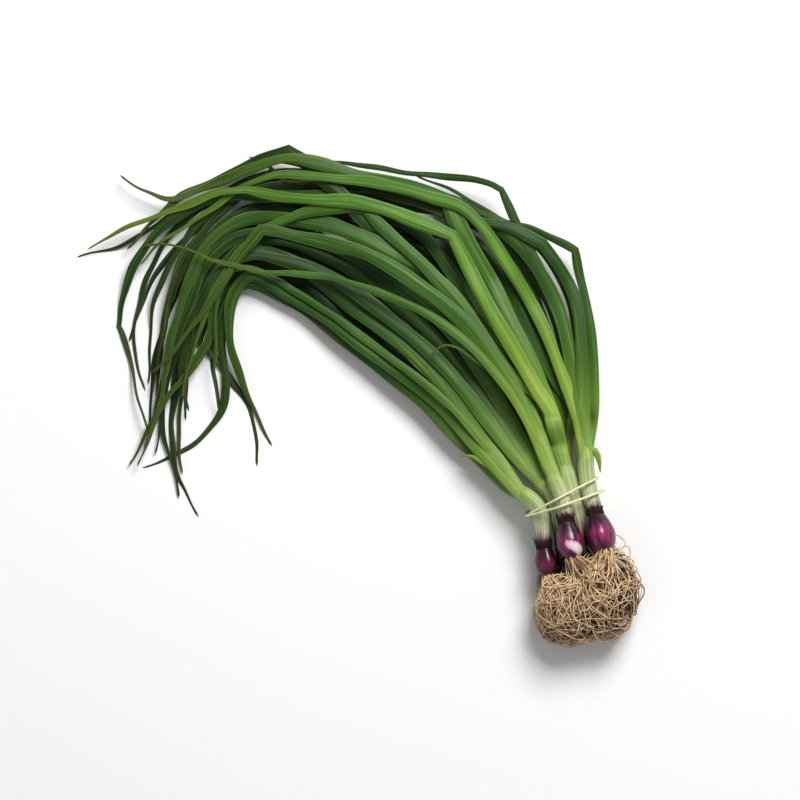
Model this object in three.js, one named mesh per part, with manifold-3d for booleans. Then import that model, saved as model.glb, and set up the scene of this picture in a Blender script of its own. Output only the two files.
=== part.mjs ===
// A bunch of spring onions lying on a table: nine plants held by a thin rubber band.
// Each plant is a purple bulb and a pale neck that opens into long flattened hollow leaves.
// The roots of all the bulbs have grown into one tangled mat.
// Units are millimetres, +Z is up, and the bunch lies on z = 0.
import * as THREE from "three";
import { mergeVertices } from "three/addons/utils/BufferGeometryUtils.js";
import Module from "manifold-3d";

const wasm = await Module();
wasm.setup();

// Driving dimensions
const MM_PER_PIXEL = 0.65; // size of one photograph pixel on the bunch: a neck of 18 pixels is 12 mm
const ORIGIN_PIXEL = [356.5, 392.5]; // the pixel that lies over the starting point of the frame
const NODE_GAP = 0.35; // clear space kept between two plants
const NECK_RADIUS = 5.6; // a neck where the band holds it
const COLLAR_RADIUS = 5; // a neck where it meets its bulb
const LOWER_TIE = 11.6; // height of the lower row of necks at the band
const UPPER_TIE = 24.1; // height of the upper row
const TOP_TIE = 34.1; // height of the single neck that lies on the upper row
const TIE_RISE = 0.5; // a neck is this much higher where its leaves part
const LEAF_FLATNESS = 0.29; // thickness over width of a leaf that has gone flat
const LEAF_TIP_HALF = 0.38; // half thickness at the tip
const LEAF_BASE_HALF = 4.6; // half width of a leaf inside its neck
const BASE_LENGTH = 50; // length over which a leaf takes its own width
const ROUND_LENGTH = 75; // length over which a leaf goes from round to flat
const NECK_SAG_RADIUS = 360; // how tightly a leaf bends down behind what it lies on, near the neck
const TIP_SAG_RADIUS = 130; // and near its limp tip
const BAND_RADIUS = 0.95;
const BAND_SPREAD = 4.6; // half the distance between the two turns of the band where they run apart
const ROOT_RADIUS = 1.1;
const CLEARANCE = 0.4; // space between the root mat and the bulbs and necks

// How finely the shapes are made
const NECK_SIDES = 10;
const NECK_STEPS = 8;
const BULB_SIDES = 11;
const BAND_STEPS = 60;
const BAND_SIDES = 6;
const ROOT_SIDES = 3;
const ROOT_STEPS = 5;
const CORE_DETAIL = 2;
const LONGEST_STEP = 34; // a straight stretch of leaf has a ring this often
const LARGEST_TURN = 0.25; // radians of bend between two rings
const CELL = 1; // grid cell of the height map that the leaves are laid on
const GRID = 0.002; // grid that the corners of the joined solids are put on
const SEED = 45;

const FOLD = true; // a route point where the leaf is folded sharply

// The plants, lower row first. Points are photograph pixels, heights and radii millimetres.
const PLANTS = [
  { bulb: [549, 587], height: 10, radius: 8, tie: [538, 508], tieHeight: LOWER_TIE, split: [513, 489] },
  { bulb: [575, 614], height: 10, radius: 8, tie: [555, 499], tieHeight: LOWER_TIE, split: [537, 473] },
  { bulb: [597, 598], height: 9.5, radius: 8.2, tie: [571, 491], tieHeight: LOWER_TIE, split: [564, 456] },
  { bulb: [618, 584], height: 10.5, radius: 8, tie: [587, 482], tieHeight: LOWER_TIE, split: [588, 446] },
  { bulb: [546, 563], height: 26, radius: 7.2, tie: [538, 508], tieHeight: UPPER_TIE, split: [513, 487] },
  { bulb: [568, 581], height: 23.4, radius: 7.6, tie: [555, 499], tieHeight: UPPER_TIE, split: [534, 476] },
  { bulb: [591, 577], height: 22.5, radius: 7.8, tie: [571, 491], tieHeight: UPPER_TIE, split: [561, 455] },
  { bulb: [600, 535], height: 33.5, radius: 9.4, tie: [587, 482], tieHeight: UPPER_TIE, split: [584, 440] },
  { bulb: [569, 542], height: 37, radius: 9, tie: [561, 495], tieHeight: TOP_TIE, split: [549, 466] },
];
const LOWER_ROW = PLANTS.slice(0, 4);
const UPPER_ROW = PLANTS.slice(4);

// The leaves in the order in which they lie, lowest first: plant, width, and the way from neck to tip.
const LOWER_LEAVES = [
  { plant: 0, width: 10, route: [[500, 470], [460, 425], [415, 375], [365, 330], [315, 293], [270, 268],
    [237, 272], [208, 303], [191, 345], [184, 385], [183, 421]] },
  { plant: 0, width: 9, route: [[505, 474], [470, 436], [430, 390], [385, 348], [340, 310], [300, 281],
    [264, 263], [236, 272], [217, 303], [213, 345], [214, 385], [219, 414]] },
  { plant: 0, width: 9.5, route: [[503, 480], [465, 445], [425, 402], [385, 368], [330, 323], [285, 290],
    [252, 276], [229, 286], [208, 311], [200, 341, FOLD], [213, 358], [232, 385], [250, 411], [257, 440],
    [257, 467]] },
  { plant: 0, width: 9.5, route: [[504, 483], [472, 450], [430, 408], [390, 375], [345, 339], [300, 306],
    [263, 285], [243, 283], [230, 299], [223, 325], [222, 355], [224, 385], [219, 412], [204, 436],
    [181, 453], [140, 467]] },
  { plant: 1, width: 10, route: [[522, 448], [485, 396], [440, 348], [395, 310], [345, 275], [300, 253],
    [262, 245], [231, 257], [206, 290], [190, 335], [175, 385], [169, 425], [176, 468], [186, 493],
    [197, 518]] },
  { plant: 1, width: 10, route: [[527, 445], [490, 387], [450, 336], [405, 293], [355, 257], [305, 235],
    [262, 228], [226, 243], [199, 280], [180, 325], [166, 370], [160, 410], [167, 447], [175, 475],
    [176, 499]] },
  { plant: 1, width: 10, route: [[532, 440], [500, 378], [462, 320], [420, 274], [375, 240], [325, 216],
    [280, 204], [240, 212], [208, 240], [183, 272], [166, 310], [156, 355], [151, 395], [146, 427]] },
  { plant: 1, width: 8.5, route: [[535, 438], [508, 376], [475, 316], [440, 268], [400, 230], [355, 203],
    [305, 188], [257, 190], [219, 205], [189, 234], [162, 265], [145, 292], [134, 318], [127, 342]] },
  { plant: 1, width: 9.5, route: [[513, 456], [480, 419], [447, 372], [412, 325], [377, 287], [335, 258],
    [290, 240], [250, 240], [220, 262], [196, 295], [178, 338], [168, 382], [160, 425], [152, 455]] },
  { plant: 2, width: 10, route: [[557, 412], [535, 372], [510, 338], [482, 303], [458, 267], [435, 239],
    [405, 217], [365, 207], [320, 202], [275, 204], [232, 220], [200, 248], [176, 285], [163, 325],
    [157, 365], [155, 400]] },
  { plant: 2, width: 10, route: [[562, 415], [550, 360], [534, 305], [512, 255], [486, 220], [450, 200],
    [405, 189], [355, 180], [300, 175], [252, 187], [215, 215], [186, 255], [168, 300], [159, 345],
    [153, 395]] },
  { plant: 2, width: 8, route: [[566, 418], [558, 375], [545, 325], [526, 278], [503, 242], [476, 222],
    [438, 206], [395, 194], [340, 182], [292, 173], [248, 180], [205, 205], [170, 235], [147, 270],
    [138, 305], [134, 340], [137, 370], [142, 392]] },
  { plant: 2, width: 6, route: [[565, 425], [553, 380], [536, 322], [513, 264], [490, 230], [455, 208],
    [405, 191], [350, 178], [300, 165], [266, 160, FOLD], [282, 180], [300, 208], [322, 232], [347, 241]] },
  { plant: 3, width: 9, route: [[578, 415], [561, 386], [545, 360], [527, 325], [511, 293], [494, 263],
    [473, 243], [438, 230], [390, 222], [335, 212], [290, 206], [255, 211], [225, 226], [198, 248],
    [180, 275], [170, 305]] },
  { plant: 3, width: 8.5, route: [[584, 420], [574, 382], [564, 342], [552, 306], [536, 276], [518, 252],
    [498, 229], [460, 214], [410, 203], [350, 191], [295, 184], [252, 190], [218, 206], [190, 232],
    [169, 262], [155, 300], [149, 345], [145, 385]] },
  { plant: 3, width: 8.5, route: [[588, 415], [585, 380], [580, 338], [572, 300], [556, 266], [537, 243],
    [510, 229], [470, 217], [420, 205], [365, 194], [310, 187], [264, 189], [227, 199], [192, 205],
    [152, 225], [116, 246], [75, 258]] },
  { plant: 3, width: 6.5, route: [[593, 420], [594, 385], [592, 345], [587, 305], [579, 272],
    [574, 251, FOLD], [556, 241], [530, 228], [505, 221], [478, 206], [448, 190], [415, 174]] },
  { plant: 2, width: 5.5, route: [[572, 412], [568, 370], [558, 320], [543, 276], [523, 235],
    [501, 190, FOLD], [484, 183], [430, 174], [360, 166], [290, 158], [247, 158]] },
];

const UPPER_LEAVES = [
  { plant: 7, width: 9.5, route: [[578, 405], [570, 355], [556, 305], [534, 262], [510, 235], [478, 217],
    [430, 203], [380, 193], [325, 184], [280, 180]] },
  { plant: 7, width: 8, route: [[583, 400], [581, 355], [576, 305], [562, 270], [543, 244, FOLD],
    [512, 230], [470, 220], [430, 209], [385, 198], [340, 189]] },
  { plant: 7, width: 4.5, route: [[594, 451], [599, 460], [601, 473]] },
  { plant: 5, width: 10, route: [[512, 438], [478, 391], [445, 350], [410, 312], [370, 280], [325, 253],
    [285, 240], [252, 244], [222, 266], [201, 300], [188, 343], [180, 388], [177, 430], [183, 475]] },
  { plant: 5, width: 9.5, route: [[517, 434], [488, 382], [458, 340], [420, 300], [378, 268], [335, 247],
    [295, 233], [256, 231], [223, 247], [198, 280], [180, 325], [167, 370], [152, 415], [142, 450]] },
  { plant: 4, width: 10.5, route: [[494, 464], [462, 428], [426, 391], [388, 362], [345, 331], [302, 301],
    [268, 282], [249, 277], [237, 290], [230, 312], [228, 338], [234, 365], [247, 393], [260, 420],
    [271, 447]] },
  { plant: 4, width: 10.5, route: [[497, 460], [470, 422], [443, 385], [413, 352], [370, 319], [322, 283],
    [290, 262], [255, 251], [231, 263], [217, 290], [213, 322], [206, 342, FOLD], [190, 367], [168, 398],
    [148, 430], [126, 466]] },
  { plant: 4, width: 5, route: [[490, 452], [458, 414], [425, 384], [385, 353], [345, 325], [305, 297],
    [272, 276], [244, 268], [224, 280], [215, 310], [214, 345], [216, 385], [220, 412]] },
  { plant: 4, width: 4.5, route: [[496, 470], [482, 461], [471, 456], [460, 457]] },
  { plant: 5, width: 9, route: [[508, 448], [470, 397], [437, 360], [400, 326], [360, 296], [315, 270],
    [270, 256], [237, 260], [211, 284], [198, 315], [191, 350], [186, 385], [189, 412]] },
  { plant: 6, width: 9, route: [[543, 412], [503, 362], [472, 305], [440, 257], [415, 228], [375, 208],
    [325, 198], [270, 195], [225, 197], [184, 211], [153, 234], [135, 265], [123, 297], [116, 326, FOLD],
    [127, 355], [136, 388], [147, 430]] },
  { plant: 6, width: 12.5, route: [[545, 410], [518, 372], [482, 330], [450, 298], [418, 266], [380, 230],
    [345, 198], [306, 165], [288, 149, FOLD], [256, 161], [216, 182], [177, 199], [149, 222], [126, 250]] },
  { plant: 8, width: 10, route: [[528, 412], [500, 362], [466, 312], [430, 275], [390, 250], [345, 231],
    [300, 220], [260, 216], [228, 228], [203, 252], [184, 290], [173, 335], [163, 385], [146, 445],
    [138, 468]] },
  { plant: 6, width: 8, route: [[548, 408], [505, 368], [466, 312], [430, 273], [394, 238],
    [366, 209, FOLD], [345, 209], [300, 215], [262, 228, FOLD], [240, 252], [218, 286], [202, 320],
    [190, 358], [183, 400]] },
  { plant: 6, width: 10.5, route: [[551, 415], [538, 380], [521, 342], [498, 298], [474, 253], [454, 215],
    [446, 200, FOLD], [425, 193], [375, 179], [330, 167], [292, 160], [255, 166], [215, 184], [172, 200],
    [145, 190], [119, 173]] },
  { plant: 7, width: 8, route: [[574, 408], [556, 360], [542, 325], [524, 290], [503, 258], [480, 226],
    [460, 207], [428, 196], [385, 186], [335, 178], [290, 174], [252, 184], [218, 203], [184, 226],
    [160, 244], [140, 266]] },
  { plant: 8, width: 10, route: [[527, 416], [507, 380], [480, 342], [450, 310], [415, 282], [375, 259],
    [335, 245], [288, 233], [262, 230, FOLD], [239, 260], [213, 295], [187, 335], [168, 360], [150, 374]] },
  { plant: 6, width: 9.5, route: [[553, 418], [534, 386], [511, 346], [485, 300], [461, 255],
    [452, 236, FOLD], [413, 219], [365, 205], [300, 198], [244, 191, FOLD], [215, 195], [160, 213],
    [110, 237], [86, 250]] },
  { plant: 8, width: 5, route: [[523, 414], [495, 376], [470, 354], [449, 345], [438, 348], [431, 357]] },
  { plant: 8, width: 5.5, route: [[526, 422], [506, 388], [478, 354], [447, 328], [410, 305], [365, 288],
    [310, 275], [250, 269], [210, 261, FOLD], [173, 244], [142, 244]] },
];

// Small tools

const at = ([px, py], z = 0) =>
  new THREE.Vector3((px - ORIGIN_PIXEL[0]) * MM_PER_PIXEL, (ORIGIN_PIXEL[1] - py) * MM_PER_PIXEL, z);

const pixelOf = (p) => [p.x / MM_PER_PIXEL + ORIGIN_PIXEL[0], ORIGIN_PIXEL[1] - p.y / MM_PER_PIXEL];

function randomFrom(seed) {
  let state = seed;
  return () => {
    state = (state + 0x6d2b79f5) | 0;
    let t = Math.imul(state ^ (state >>> 15), 1 | state);
    t = (t + Math.imul(t ^ (t >>> 7), 61 | t)) ^ t;
    return ((t ^ (t >>> 14)) >>> 0) / 2 ** 32;
  };
}

function solidOf(geometry) {
  const bare = new THREE.BufferGeometry();
  bare.setAttribute("position", geometry.getAttribute("position"));
  if (geometry.index) bare.setIndex(geometry.index);
  const merged = mergeVertices(bare, 1e-4);
  const corners = merged.index.array;
  const kept = [];
  for (let i = 0; i < corners.length; i += 3) {
    const [a, b, c] = [corners[i], corners[i + 1], corners[i + 2]];
    if (a !== b && b !== c && c !== a) kept.push(a, b, c);
  }
  return new wasm.Manifold(
    new wasm.Mesh({
      numProp: 3,
      vertProperties: new Float32Array(merged.attributes.position.array),
      triVerts: new Uint32Array(kept),
    }),
  );
}

// The solid's surface with its corners on a fine grid, so that no two of them nearly meet.
function geometryOf(solid) {
  const mesh = solid.getMesh();
  const positions = mesh.vertProperties.map((v) => Math.round(v / GRID) * GRID);
  const places = new Map();
  const first = [];
  for (let i = 0; i < positions.length; i += 3) {
    const key = `${positions[i]},${positions[i + 1]},${positions[i + 2]}`;
    if (!places.has(key)) places.set(key, i / 3);
    first.push(places.get(key));
  }
  const corners = [];
  for (let i = 0; i < mesh.triVerts.length; i += 3) {
    const [a, b, c] = [0, 1, 2].map((k) => first[mesh.triVerts[i + k]]);
    if (a !== b && b !== c && c !== a) corners.push(a, b, c);
  }
  const geometry = new THREE.BufferGeometry();
  geometry.setAttribute("position", new THREE.BufferAttribute(new Float32Array(positions), 3));
  geometry.setIndex(corners);
  return geometry;
}

const join = (solids) => solids.reduce((all, next) => all.add(next));

// What a cut or a join leaves behind: the biggest body, without loose crumbs.
function biggestBody(solid) {
  return solid.decompose().reduce((best, next) => (next.volume() > best.volume() ? next : best));
}

// A skin over rings of equal length, closed by two flat ends or, as a ring, onto itself.
function loft(rings, closed = false) {
  const sides = rings[0].length;
  const positions = rings.flat().flatMap((p) => [p.x, p.y, p.z]);
  const corners = [];
  const spans = closed ? rings.length : rings.length - 1;
  for (let i = 0; i < spans; i++) {
    const low = i * sides;
    const high = ((i + 1) % rings.length) * sides;
    for (let j = 0; j < sides; j++) {
      const k = (j + 1) % sides;
      corners.push(low + j, high + k, low + k, low + j, high + j, high + k);
    }
  }
  if (!closed) {
    const last = (rings.length - 1) * sides;
    for (let j = 1; j < sides - 1; j++) {
      corners.push(0, j, j + 1);
      corners.push(last, last + j + 1, last + j);
    }
  }
  const geometry = new THREE.BufferGeometry();
  geometry.setAttribute("position", new THREE.Float32BufferAttribute(positions, 3));
  geometry.setIndex(corners);
  return geometry;
}

// A ring of points round a centre, square to a direction.
function ringAround(centre, direction, radius, sides) {
  const up = new THREE.Vector3(0, 0, 1);
  const side = new THREE.Vector3().crossVectors(direction, up).normalize();
  const over = new THREE.Vector3().crossVectors(side, direction).normalize();
  return Array.from({ length: sides }, (_, k) => {
    const angle = (2 * Math.PI * k) / sides;
    const lateral = side.clone().multiplyScalar(radius * Math.cos(angle));
    return centre.clone().add(lateral).addScaledVector(over, radius * Math.sin(angle));
  });
}

// Necks

const BULB_TOP = 1.75; // distance from the bulb's middle to its collar, in bulb radii
const SWELL_SHARE = 0.38; // share of a neck, from the collar, over which it swells to its full radius
const TAPER_FROM = 0.8; // share of a neck from which it thins towards its leaves
const TAPER = 1.1;

function neckCurve(plant) {
  const bulb = at(plant.bulb, plant.height);
  const tie = at(plant.tie, plant.tieHeight);
  const split = at(plant.split, plant.tieHeight + TIE_RISE);
  const collarShare = (BULB_TOP * plant.radius + NODE_GAP) / bulb.distanceTo(tie);
  return new THREE.CatmullRomCurve3([bulb.lerp(tie, collarShare), tie, split], false, "catmullrom", 0.5);
}

function neckRadius(share) {
  const swell = Math.min(1, share / SWELL_SHARE);
  const radius = COLLAR_RADIUS + (NECK_RADIUS - COLLAR_RADIUS) * swell;
  return radius * (1 - TAPER * Math.max(0, share - TAPER_FROM));
}

function neckSolid(plant, extra = 0) {
  const curve = neckCurve(plant);
  const rings = Array.from({ length: NECK_STEPS + 1 }, (_, k) => {
    const share = k / NECK_STEPS;
    const direction = curve.getTangent(share);
    const centre = curve.getPoint(share).addScaledVector(direction, k ? 0 : -extra);
    return ringAround(centre, direction, neckRadius(share) + extra, NECK_SIDES);
  });
  return solidOf(loft(rings));
}

// Leaf routes

const ROUTE_STEPS = 6; // fine points from one route point to the next
const LEAF_START = 0.62; // a leaf starts inside the neck, this far along it
const LEAF_LEAVES = 0.86; // and has left it here

// A smooth line through the route, broken at its folds, as close points that remember which are folds.
function smoothRoute(points) {
  const fine = [];
  let stretch = [];
  points.forEach((point, i) => {
    stretch.push(at(point));
    if (point[2] || i === points.length - 1) {
      const curve = new THREE.CatmullRomCurve3(stretch, false, "catmullrom", 0.5);
      const steps = ROUTE_STEPS * (stretch.length - 1);
      const from = fine.length ? 1 : 0;
      for (let k = from; k <= steps; k++) fine.push({ p: curve.getPoint(k / steps), fold: false });
      fine[fine.length - 1].fold = Boolean(point[2]);
      stretch = [at(point)];
    }
  });
  return fine;
}

const LEAST_HALF_WIDTH = 0.7;
const FOLD_WIDTH = 0.8; // width of a leaf at a fold, to its width beside it
const BASE_SHARE = 0.62; // half width of a narrow leaf inside its neck, to its width
const TIP_SHARE = 0.5; // share of a leaf's length over which it narrows to its tip
const TIP_BLUNTNESS = 0.06; // what is left of its width there
const TIP_CURVE = 0.75;
const NECK_ROUNDNESS = 0.94; // thickness over width inside the neck

// Half the width at a distance from the neck, which is the share t of the whole length.
function halfWidth(width, along, t) {
  const narrowed = Math.pow((1 - t) / TIP_SHARE, TIP_CURVE);
  const tip = Math.min(1, TIP_BLUNTNESS + (1 - TIP_BLUNTNESS) * narrowed);
  const base = Math.min(LEAF_BASE_HALF, BASE_SHARE * width);
  const opened = THREE.MathUtils.smoothstep(along, 0, BASE_LENGTH);
  return Math.max(LEAST_HALF_WIDTH, THREE.MathUtils.lerp(base, 0.5 * width, opened) * tip);
}

// Half the thickness of a leaf: round inside the neck, and flat beyond it.
function halfThickness(half, along) {
  const roundness = (NECK_ROUNDNESS - LEAF_FLATNESS) * Math.max(0, 1 - along / ROUND_LENGTH) ** 2;
  return Math.max(LEAF_TIP_HALF, half * (LEAF_FLATNESS + roundness));
}

// The line of a leaf as close stations, with the half width a, the half thickness b and the height z.
// Its first stations are in the neck, and the others lie flat on the table.
function leafStations(leaf) {
  const curve = neckCurve(PLANTS[leaf.plant]);
  const start = curve.getPoint(LEAF_START);
  const leaves = curve.getPoint(LEAF_LEAVES);
  const fine = smoothRoute([pixelOf(start), pixelOf(leaves), ...leaf.route]);
  let along = 0;
  const stations = fine.map(({ p, fold }, i) => {
    if (i) along += p.distanceTo(fine[i - 1].p);
    return { x: p.x, y: p.y, along, fold };
  });
  stations.forEach((s, i) => {
    s.a = halfWidth(leaf.width, s.along, s.along / along) * (s.fold ? FOLD_WIDTH : 1);
    s.b = halfThickness(s.a, s.along);
    s.z = i > ROUTE_STEPS ? s.b : THREE.MathUtils.lerp(start.z, leaves.z, i / ROUTE_STEPS);
  });
  return stations;
}

// Laying the leaves down

// The height map: for each plant, the top of what has been laid on each cell of the table.
const MAP_LEFT = -210;
const MAP_FRONT = -190;
const MAP_COLUMNS = 420;
const MAP_ROWS = 380;
const CELL_MARGIN = 0.7 * CELL;
const OWN_LEAVES_FROM = 70; // a plant's leaves part from each other this far from the neck
const laid = PLANTS.map(() => new Float32Array(MAP_COLUMNS * MAP_ROWS));

const columnOf = (x) => Math.floor((x - MAP_LEFT) / CELL);
const rowOf = (y) => Math.floor((y - MAP_FRONT) / CELL);

// Height of a leaf's six-sided section over its middle plane, at q of its half width.
const sectionRise = (q) => THREE.MathUtils.clamp(2 * (1 - q), 0, 1);

// Calls visit(cell, u, rise) for each cell under the strip between two stations, with the share u along
// the strip and the rise of the section's top there.
function eachCellUnder(from, to, visit) {
  const reach = Math.max(from.a, to.a) + CELL_MARGIN;
  const dx = to.x - from.x;
  const dy = to.y - from.y;
  const length2 = dx * dx + dy * dy;
  for (let row = rowOf(Math.min(from.y, to.y) - reach); row <= rowOf(Math.max(from.y, to.y) + reach); row++) {
    const firstColumn = columnOf(Math.min(from.x, to.x) - reach);
    const lastColumn = columnOf(Math.max(from.x, to.x) + reach);
    for (let column = firstColumn; column <= lastColumn; column++) {
      const x = MAP_LEFT + (column + 0.5) * CELL;
      const y = MAP_FRONT + (row + 0.5) * CELL;
      const u = THREE.MathUtils.clamp(((x - from.x) * dx + (y - from.y) * dy) / length2, 0, 1);
      const q = Math.hypot(x - from.x - u * dx, y - from.y - u * dy);
      const half = THREE.MathUtils.lerp(from.a, to.a, u) + CELL_MARGIN;
      if (q <= half) visit(row * MAP_COLUMNS + column, u, sectionRise(q / half));
    }
  }
}

// The highest top on a cell, of what is lower than the ceiling.
function highestUnder(cell, plant, withOwn, ceiling) {
  let top = 0;
  laid.forEach((map, k) => {
    if ((k !== plant || withOwn) && map[cell] > top && map[cell] < ceiling) top = map[cell];
  });
  return top;
}

// How far a strip between two stations, at the given heights, is below what it needs to clear all under it.
function shortOf(from, to, heightFrom, heightTo, plant, ceiling = Infinity) {
  let short = 0;
  const withOwn = from.along > OWN_LEAVES_FROM;
  eachCellUnder(from, to, (cell, u, rise) => {
    const top = highestUnder(cell, plant, withOwn, ceiling);
    if (top <= 0) return;
    const needed = top + NODE_GAP + THREE.MathUtils.lerp(from.b, to.b, u) * rise;
    short = Math.max(short, needed - THREE.MathUtils.lerp(heightFrom, heightTo, u));
  });
  return short;
}

const BESIDE_NECK = 25; // this near to its neck a leaf passes under what lies high
const CLIMB = 9; // which is what is more than this above the neck's middle

// Lifts each station beyond the neck to the highest need of the strips beside it.
function lift(stations, neckEnd, plant) {
  const ceiling = stations[ROUTE_STEPS].z + CLIMB;
  for (let i = ROUTE_STEPS; i < stations.length - 1; i++) {
    const [from, to] = [stations[i], stations[i + 1]];
    const below = from.along < neckEnd + BESIDE_NECK ? ceiling : Infinity;
    const need = shortOf(from, to, 0, 0, plant, below);
    if (from.along > neckEnd) from.z = Math.max(from.z, need);
    to.z = Math.max(to.z, need);
  }
}

// Lifts the rings a little where the straight strips between them still cut into something.
function liftStrips(rings, plant) {
  for (let i = 2; i < rings.length - 1; i++) {
    const [from, to] = [rings[i], rings[i + 1]];
    const short = shortOf(from, to, from.z, to.z, plant);
    from.z += short;
    to.z += short;
  }
}

// A leaf is springy: it leaves each high spot on a wide bend, but it comes out of its neck level.
function relax(stations, neckEnd) {
  const length = stations[stations.length - 1].along;
  const heights = stations.map((s) =>
    stations.reduce((highest, other) => {
      const away = s.along - other.along;
      const radius = THREE.MathUtils.lerp(NECK_SAG_RADIUS, TIP_SAG_RADIUS, other.along / length);
      return Math.max(highest, other.z - (away * away) / (2 * radius));
    }, s.z),
  );
  const neckHeight = stations[ROUTE_STEPS].z;
  stations.forEach((s, i) => {
    const highest = s.along < neckEnd + BESIDE_NECK ? Math.max(s.z, neckHeight) : Infinity;
    if (s.along > neckEnd) s.z = Math.min(heights[i], highest);
  });
}

const FOLD_REACH = 8; // a fold shows in the rings this near to it
const FOLD_LOOK_AHEAD = 4; // stations that are searched for a coming fold

// Thins the close stations to the rings that the shape needs.
function ringsOf(stations) {
  const rings = [stations[0], stations[ROUTE_STEPS]];
  let travelled = 0;
  let turned = 0;
  for (let i = ROUTE_STEPS + 1; i < stations.length - 1; i++) {
    const [before, here, after] = [stations[i - 1], stations[i], stations[i + 1]];
    const into = new THREE.Vector3(here.x - before.x, here.y - before.y, here.z - before.z);
    const out = new THREE.Vector3(after.x - here.x, after.y - here.y, after.z - here.z);
    travelled += into.length();
    turned += into.angleTo(out);
    const ahead = stations.slice(i + 1, i + FOLD_LOOK_AHEAD);
    const foldAhead = ahead.some((next) => next.fold && next.along - here.along <= FOLD_REACH);
    const nearFold = (foldAhead || rings[rings.length - 1].fold) && travelled > FOLD_REACH;
    if (here.fold || nearFold || travelled > LONGEST_STEP || turned > LARGEST_TURN) {
      rings.push(here);
      travelled = 0;
      turned = 0;
    }
  }
  rings.push(stations[stations.length - 1]);
  return rings;
}

function markLaid(stations, plant) {
  for (let i = 0; i < stations.length - 1; i++) {
    const [from, to] = [stations[i], stations[i + 1]];
    eachCellUnder(from, to, (cell, u, rise) => {
      const top = THREE.MathUtils.lerp(from.z, to.z, u) + THREE.MathUtils.lerp(from.b, to.b, u) * rise;
      laid[plant][cell] = Math.max(laid[plant][cell], top);
    });
  }
}

function markNeck(plant) {
  const curve = neckCurve(plant);
  const stations = Array.from({ length: NECK_STEPS + 1 }, (_, k) => {
    const p = curve.getPoint(k / NECK_STEPS);
    return { x: p.x, y: p.y, z: p.z, a: NECK_RADIUS, b: NECK_RADIUS };
  });
  markLaid(stations, PLANTS.indexOf(plant));
}

// Leaves

const WIDEST_MITRE = 1.2;
const LEAF_SECTION = [[1, 0], [0.5, 1], [-0.5, 1], [-1, 0], [-0.5, -1], [0.5, -1]];

function leafSolid(stations) {
  const rings = stations.map((s, i) => {
    const before = stations[Math.max(0, i - 1)];
    const after = stations[Math.min(stations.length - 1, i + 1)];
    const into = new THREE.Vector2(s.x - before.x, s.y - before.y);
    const out = new THREE.Vector2(after.x - s.x, after.y - s.y);
    if (!into.length()) into.copy(out);
    if (!out.length()) out.copy(into);
    into.normalize();
    out.normalize();
    const middle = into.clone().add(out).normalize();
    const mitre = Math.min(WIDEST_MITRE, 1 / middle.dot(into));
    const side = new THREE.Vector3(middle.y, -middle.x, 0);
    return LEAF_SECTION.map(([q, r]) =>
      new THREE.Vector3(s.x, s.y, s.z + r * s.b).addScaledVector(side, q * s.a * mitre),
    );
  });
  return solidOf(loft(rings));
}

const leafSolids = PLANTS.map(() => []);

function growLeaf(leaf) {
  const stations = leafStations(leaf);
  const neckEnd = stations[ROUTE_STEPS].along;
  lift(stations, neckEnd, leaf.plant);
  relax(stations, neckEnd);
  const rings = ringsOf(stations);
  liftStrips(rings, leaf.plant);
  markLaid(rings, leaf.plant);
  leafSolids[leaf.plant].push(leafSolid(rings));
}

LOWER_ROW.forEach(markNeck);
LOWER_LEAVES.forEach(growLeaf);
UPPER_ROW.forEach(markNeck);
UPPER_LEAVES.forEach(growLeaf);

// Bulbs

// Half outline of a bulb from root plate to collar, in bulb radii: [radius, height].
const BULB_OUTLINE = [[0, -1.18], [0.4, -1.16], [0.8, -0.78], [1, -0.12], [0.93, 0.42], [0.7, 1.06],
  [0.54, BULB_TOP], [0, BULB_TOP]];

function bulbSolid(plant, extra = 0) {
  const outline = BULB_OUTLINE.map(([r, y]) => {
    const radius = r ? r * plant.radius + extra : 0;
    return new THREE.Vector2(radius, y * plant.radius + Math.sign(y) * (Math.abs(y) > 1 ? extra : 0));
  });
  const geometry = new THREE.LatheGeometry(outline, BULB_SIDES);
  const centre = at(plant.bulb, plant.height);
  const axis = at(plant.tie, plant.tieHeight).sub(centre).normalize();
  geometry.applyQuaternion(new THREE.Quaternion().setFromUnitVectors(new THREE.Vector3(0, 1, 0), axis));
  geometry.translate(centre.x, centre.y, centre.z);
  return solidOf(geometry);
}

// Root mat

// The three tufts of the mat, each of roots round a smaller matted core.
const TUFTS = [
  { centre: at([570, 605], 19), size: new THREE.Vector3(20, 23, 22.5), roots: 21 },
  { centre: at([607, 590], 19.5), size: new THREE.Vector3(20.5, 29, 23), roots: 22 },
  { centre: at([556, 613], 13.5), size: new THREE.Vector3(11.5, 17, 12), roots: 6 },
];
const CORE_SHARE = 0.88; // size of a core to that of its tuft
const ROOT_SUNK = 0.72; // where a root starts, inside the core
const ROOT_OUT = 0.96; // and how far out it runs
const ROOT_WANDER = 0.08;
const ROOT_LIFT = 0.1; // how far its end may stand off
const ROOT_BENDS = 4;
const ROOT_LEAST_TURN = 0.3; // radians round the tuft from one bend to the next
const ROOT_MORE_TURN = 0.4;
const ROOT_TAPER = 0.4;

function tuftCore(tuft) {
  const geometry = new THREE.IcosahedronGeometry(CORE_SHARE, CORE_DETAIL);
  const position = geometry.getAttribute("position");
  const p = new THREE.Vector3();
  for (let i = 0; i < position.count; i++) {
    p.fromBufferAttribute(position, i);
    const bump = 1 + 0.06 * Math.sin(5 * p.x + 1) * Math.cos(4 * p.y) + 0.04 * Math.sin(6 * p.z + 3 * p.x);
    p.multiply(tuft.size).multiplyScalar(bump).add(tuft.centre);
    position.setXYZ(i, p.x, p.y, p.z);
  }
  return solidOf(geometry);
}

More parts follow.
